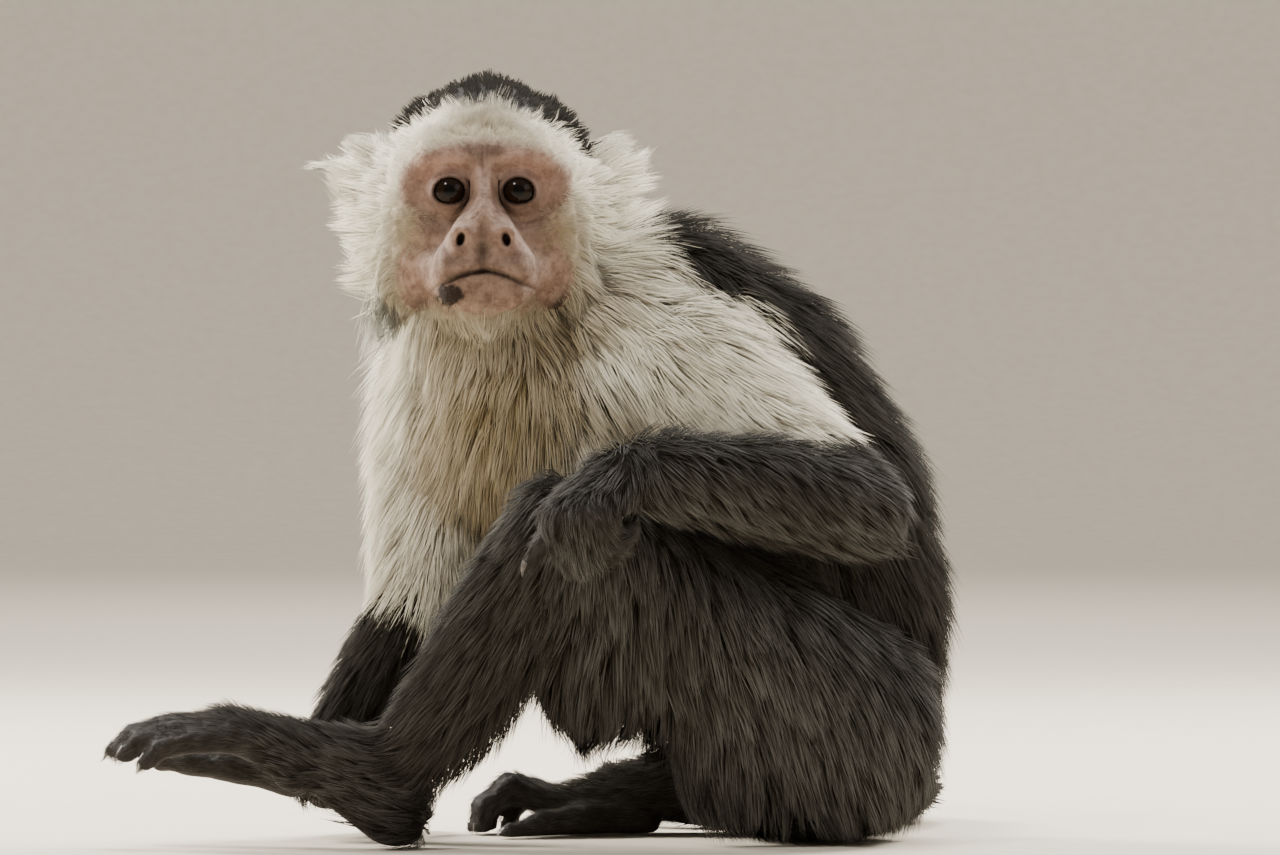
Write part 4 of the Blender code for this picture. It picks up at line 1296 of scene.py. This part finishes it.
drawn = drawn * (0.72 + 0.28 * headward)[:, None, None] * close[:, None, None]
path = path + (target - path) * drawn
path[:, :, 2] = np.maximum(path[:, :, 2], 0.4 * MM)

# The bake's map: the skin of each part of the body, opened out on the six sides that it faces.
facing = unit(root_out)
axis = np.abs(facing).argmax(axis=1)
cell = axis * 2 + (np.take_along_axis(facing, axis[:, None], 1)[:, 0] > 0)
group = at_roots(shares).argmax(axis=1)
flat = np.empty((count, 2))
for index, (first, second) in enumerate(((1, 2), (0, 2), (0, 1))):
    of_axis = axis == index
    flat[of_axis] = root[of_axis][:, (first, second)]
for index in range(len(GROUPS)):
    for side_cell in range(6):
        members = np.flatnonzero((group == index) & (cell == side_cell))
        if len(members):
            low, high = flat[members].min(axis=0), flat[members].max(axis=0)
            within = (flat[members] - low) / np.maximum(high - low, 1e-6)
            cell_size = np.array([1 / 3, 1 / 2])
            corner = np.array([side_cell % 3, side_cell // 3]) * cell_size
            flat[members] = corner + PATCH + within * (cell_size - 2 * PATCH)

coat_finish = Finish("coat", Roughness=0.7, Specular_IOR_Level=0.05)
pale_v, tan_v, grizzle_v = coat_finish.attribute("coat")
along_v, tone_v, clump_v = coat_finish.attribute("lock")
# Tan, deepened in places into painted shade, varied at random by clump and lock.
tanned = tan_v * 0.85 + 0.26 * (clump_v - 0.5) + 0.22 * (tone_v - 0.5)
light = coat_finish.mix(tanned.clipped(), WHITE_HAIR, TAN_AND_SHADE_HAIR)
# Each lock darker towards its root, most in the tan: painted shade deep in the coat.
root_shade = (1 - along_v).step(0.1, 1.0) * (0.06 + 0.55 * tan_v)
light = coat_finish.mix(root_shade.clipped(), light, colour(0.11, 0.082, 0.042))
shaded = (0.42 * (1 - clump_v) + 0.3 * (1 - tone_v)) * (1 - 0.5 * along_v) * (0.4 + 0.6 * tan_v)
light = coat_finish.mix(shaded.clipped(), light, colour(0.24, 0.17, 0.09))
# Dark locks greyed and silver-tipped where the hair is grizzled: silver tips, partly painted sheen.
greyed = (tone_v * 0.6 + clump_v * 0.35) * (0.12 + 0.88 * grizzle_v.step(0, 0.08))
dark = coat_finish.mix(greyed, BLACK_HAIR, colour(0.052, 0.047, 0.038))
silver_and_sheen = (along_v.step(0.35, 0.95) * grizzle_v * (tone_v * 0.7 + clump_v * 0.6)).clipped()
dark = coat_finish.mix(silver_and_sheen, dark, SILVER_AND_SHEEN_HAIR)
coat_finish.set(Base_Color=coat_finish.mix(pale_v, dark, light))


def locks(members, rings):
    """The locks of these members, each of so many three-cornered rings and a tip: corners, the way each
    corner faces, places on the bake's map, share of the way along, and the faces."""
    steps = {2: [0, 1.5], 1: [0]}[rings]
    at = path[members]
    line = [at[:, 0], (at[:, 1] + at[:, 2]) / 2][:rings] + [at[:, 3]]
    across = unit(np.cross(unit(at[:, 3] - at[:, 0]), root_out[members]))
    over = unit(np.cross(across, unit(at[:, 3] - at[:, 0])))
    skyward = unit(root_out[members] + headward[members][:, None] * LIFTED)
    points, facing_way, patch = [], [], []
    for ring in range(rings):
        half = (lock_width[members] * (0.85, 0.95)[ring] / 2)[:, None]
        for offset, shift in ((-across, -0.45), (across, 0.45), (over * 0.8, 0.0)):
            points.append(line[ring] + offset * half)
            facing_way.append(unit(offset + skyward * SOFTNESS))
            patch.append(flat[members] + np.array([shift, steps[ring] / 3 * 0.9 - 0.45]) * PATCH)
    points.append(line[rings])
    facing_way.append(skyward)
    patch.append(flat[members] + np.array([0, 0.45]) * PATCH)
    each = rings * 3 + 1
    faces = [(0, 1, 2)]
    for ring in range(rings - 1):
        for a, b in ((0, 1), (1, 2), (2, 0)):
            low_a, low_b, high_a, high_b = ring * 3 + a, ring * 3 + b, ring * 3 + a + 3, ring * 3 + b + 3
            faces += [(low_a, high_b, low_b), (low_a, high_a, high_b)]
    last = (rings - 1) * 3
    faces += [(last + a, each - 1, last + b) for a, b in ((0, 1), (1, 2), (2, 0))]
    share = np.array([step / 3 for step in steps for _ in range(3)] + [1.0])
    return (
        np.stack(points, axis=1).reshape(-1, 3),
        np.stack(facing_way, axis=1).reshape(-1, 3),
        np.stack(patch, axis=1).reshape(-1, 2),
        np.tile(share, len(members)),
        np.repeat(members, each),
        (np.arange(len(members))[:, None, None] * each + np.array(faces)[None]).reshape(-1),
    )


def lock_mesh(name, members):
    """The locks of these members as one mesh: long ones bend in the middle, short ones are straight."""
    short = lock_length[members] < STRAIGHT
    parts = [locks(members[~short], 2), locks(members[short], 1)]
    points, facing_way, patch, share, owner = [np.concatenate([part[k] for part in parts]) for k in range(5)]
    index = np.concatenate([parts[0][5], parts[1][5] + len(parts[0][0])])
    mesh = bpy.data.meshes.new(name)
    mesh.vertices.add(len(points))
    mesh.loops.add(len(index))
    mesh.polygons.add(len(index) // 3)
    mesh.vertices.foreach_set("co", points.astype(np.float32).ravel())
    mesh.polygons.foreach_set("loop_start", np.arange(0, len(index), 3, dtype=np.int32))
    mesh.loops.foreach_set("vertex_index", index.astype(np.int32))
    layer = mesh.uv_layers.new(name="OFBake")
    layer.uv.foreach_set("vector", patch[index].astype(np.float32).ravel())
    mesh.update(calc_edges=True)
    keep_vector(mesh, "coat", *marking[owner].T)
    keep_vector(mesh, "lock", share, tone[owner], clump_tone[owner])
    mesh.shade_smooth()
    mesh.normals_split_custom_set_from_vertices(facing_way.astype(np.float32))
    mesh.materials.append(coat_finish.material)
    return mesh


marking = at_roots(np.stack((hair_pale, tan, grizzle), axis=1))
# A lock near a border takes one side's colour or the other's, so that the edge is ragged.
doubt = 0.25 * smooth_step(0, 0.15, marking[:, 0]) * smooth_step(1, 0.85, marking[:, 0])
marking[:, 0] = smooth_step(0.3, 0.7, marking[:, 0] + doubt * rng.normal(0, 1, count))
for index, name in enumerate(GROUPS):
    members = np.flatnonzero(group == index)
    triangles = np.where(lock_length[members] < STRAIGHT, 4, 10).sum()
    pieces = max(1, math.ceil(triangles / PIECE_TRIANGLES))
    members = members[np.argsort(root[members, 0])]
    for number, part in enumerate(np.array_split(members, pieces)):
        if len(part) == 0:
            continue
        piece = new_object(f"coat_{name}_{number + 1}", lock_mesh(f"coat_{name}_{number + 1}", part))
        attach(piece, "root")
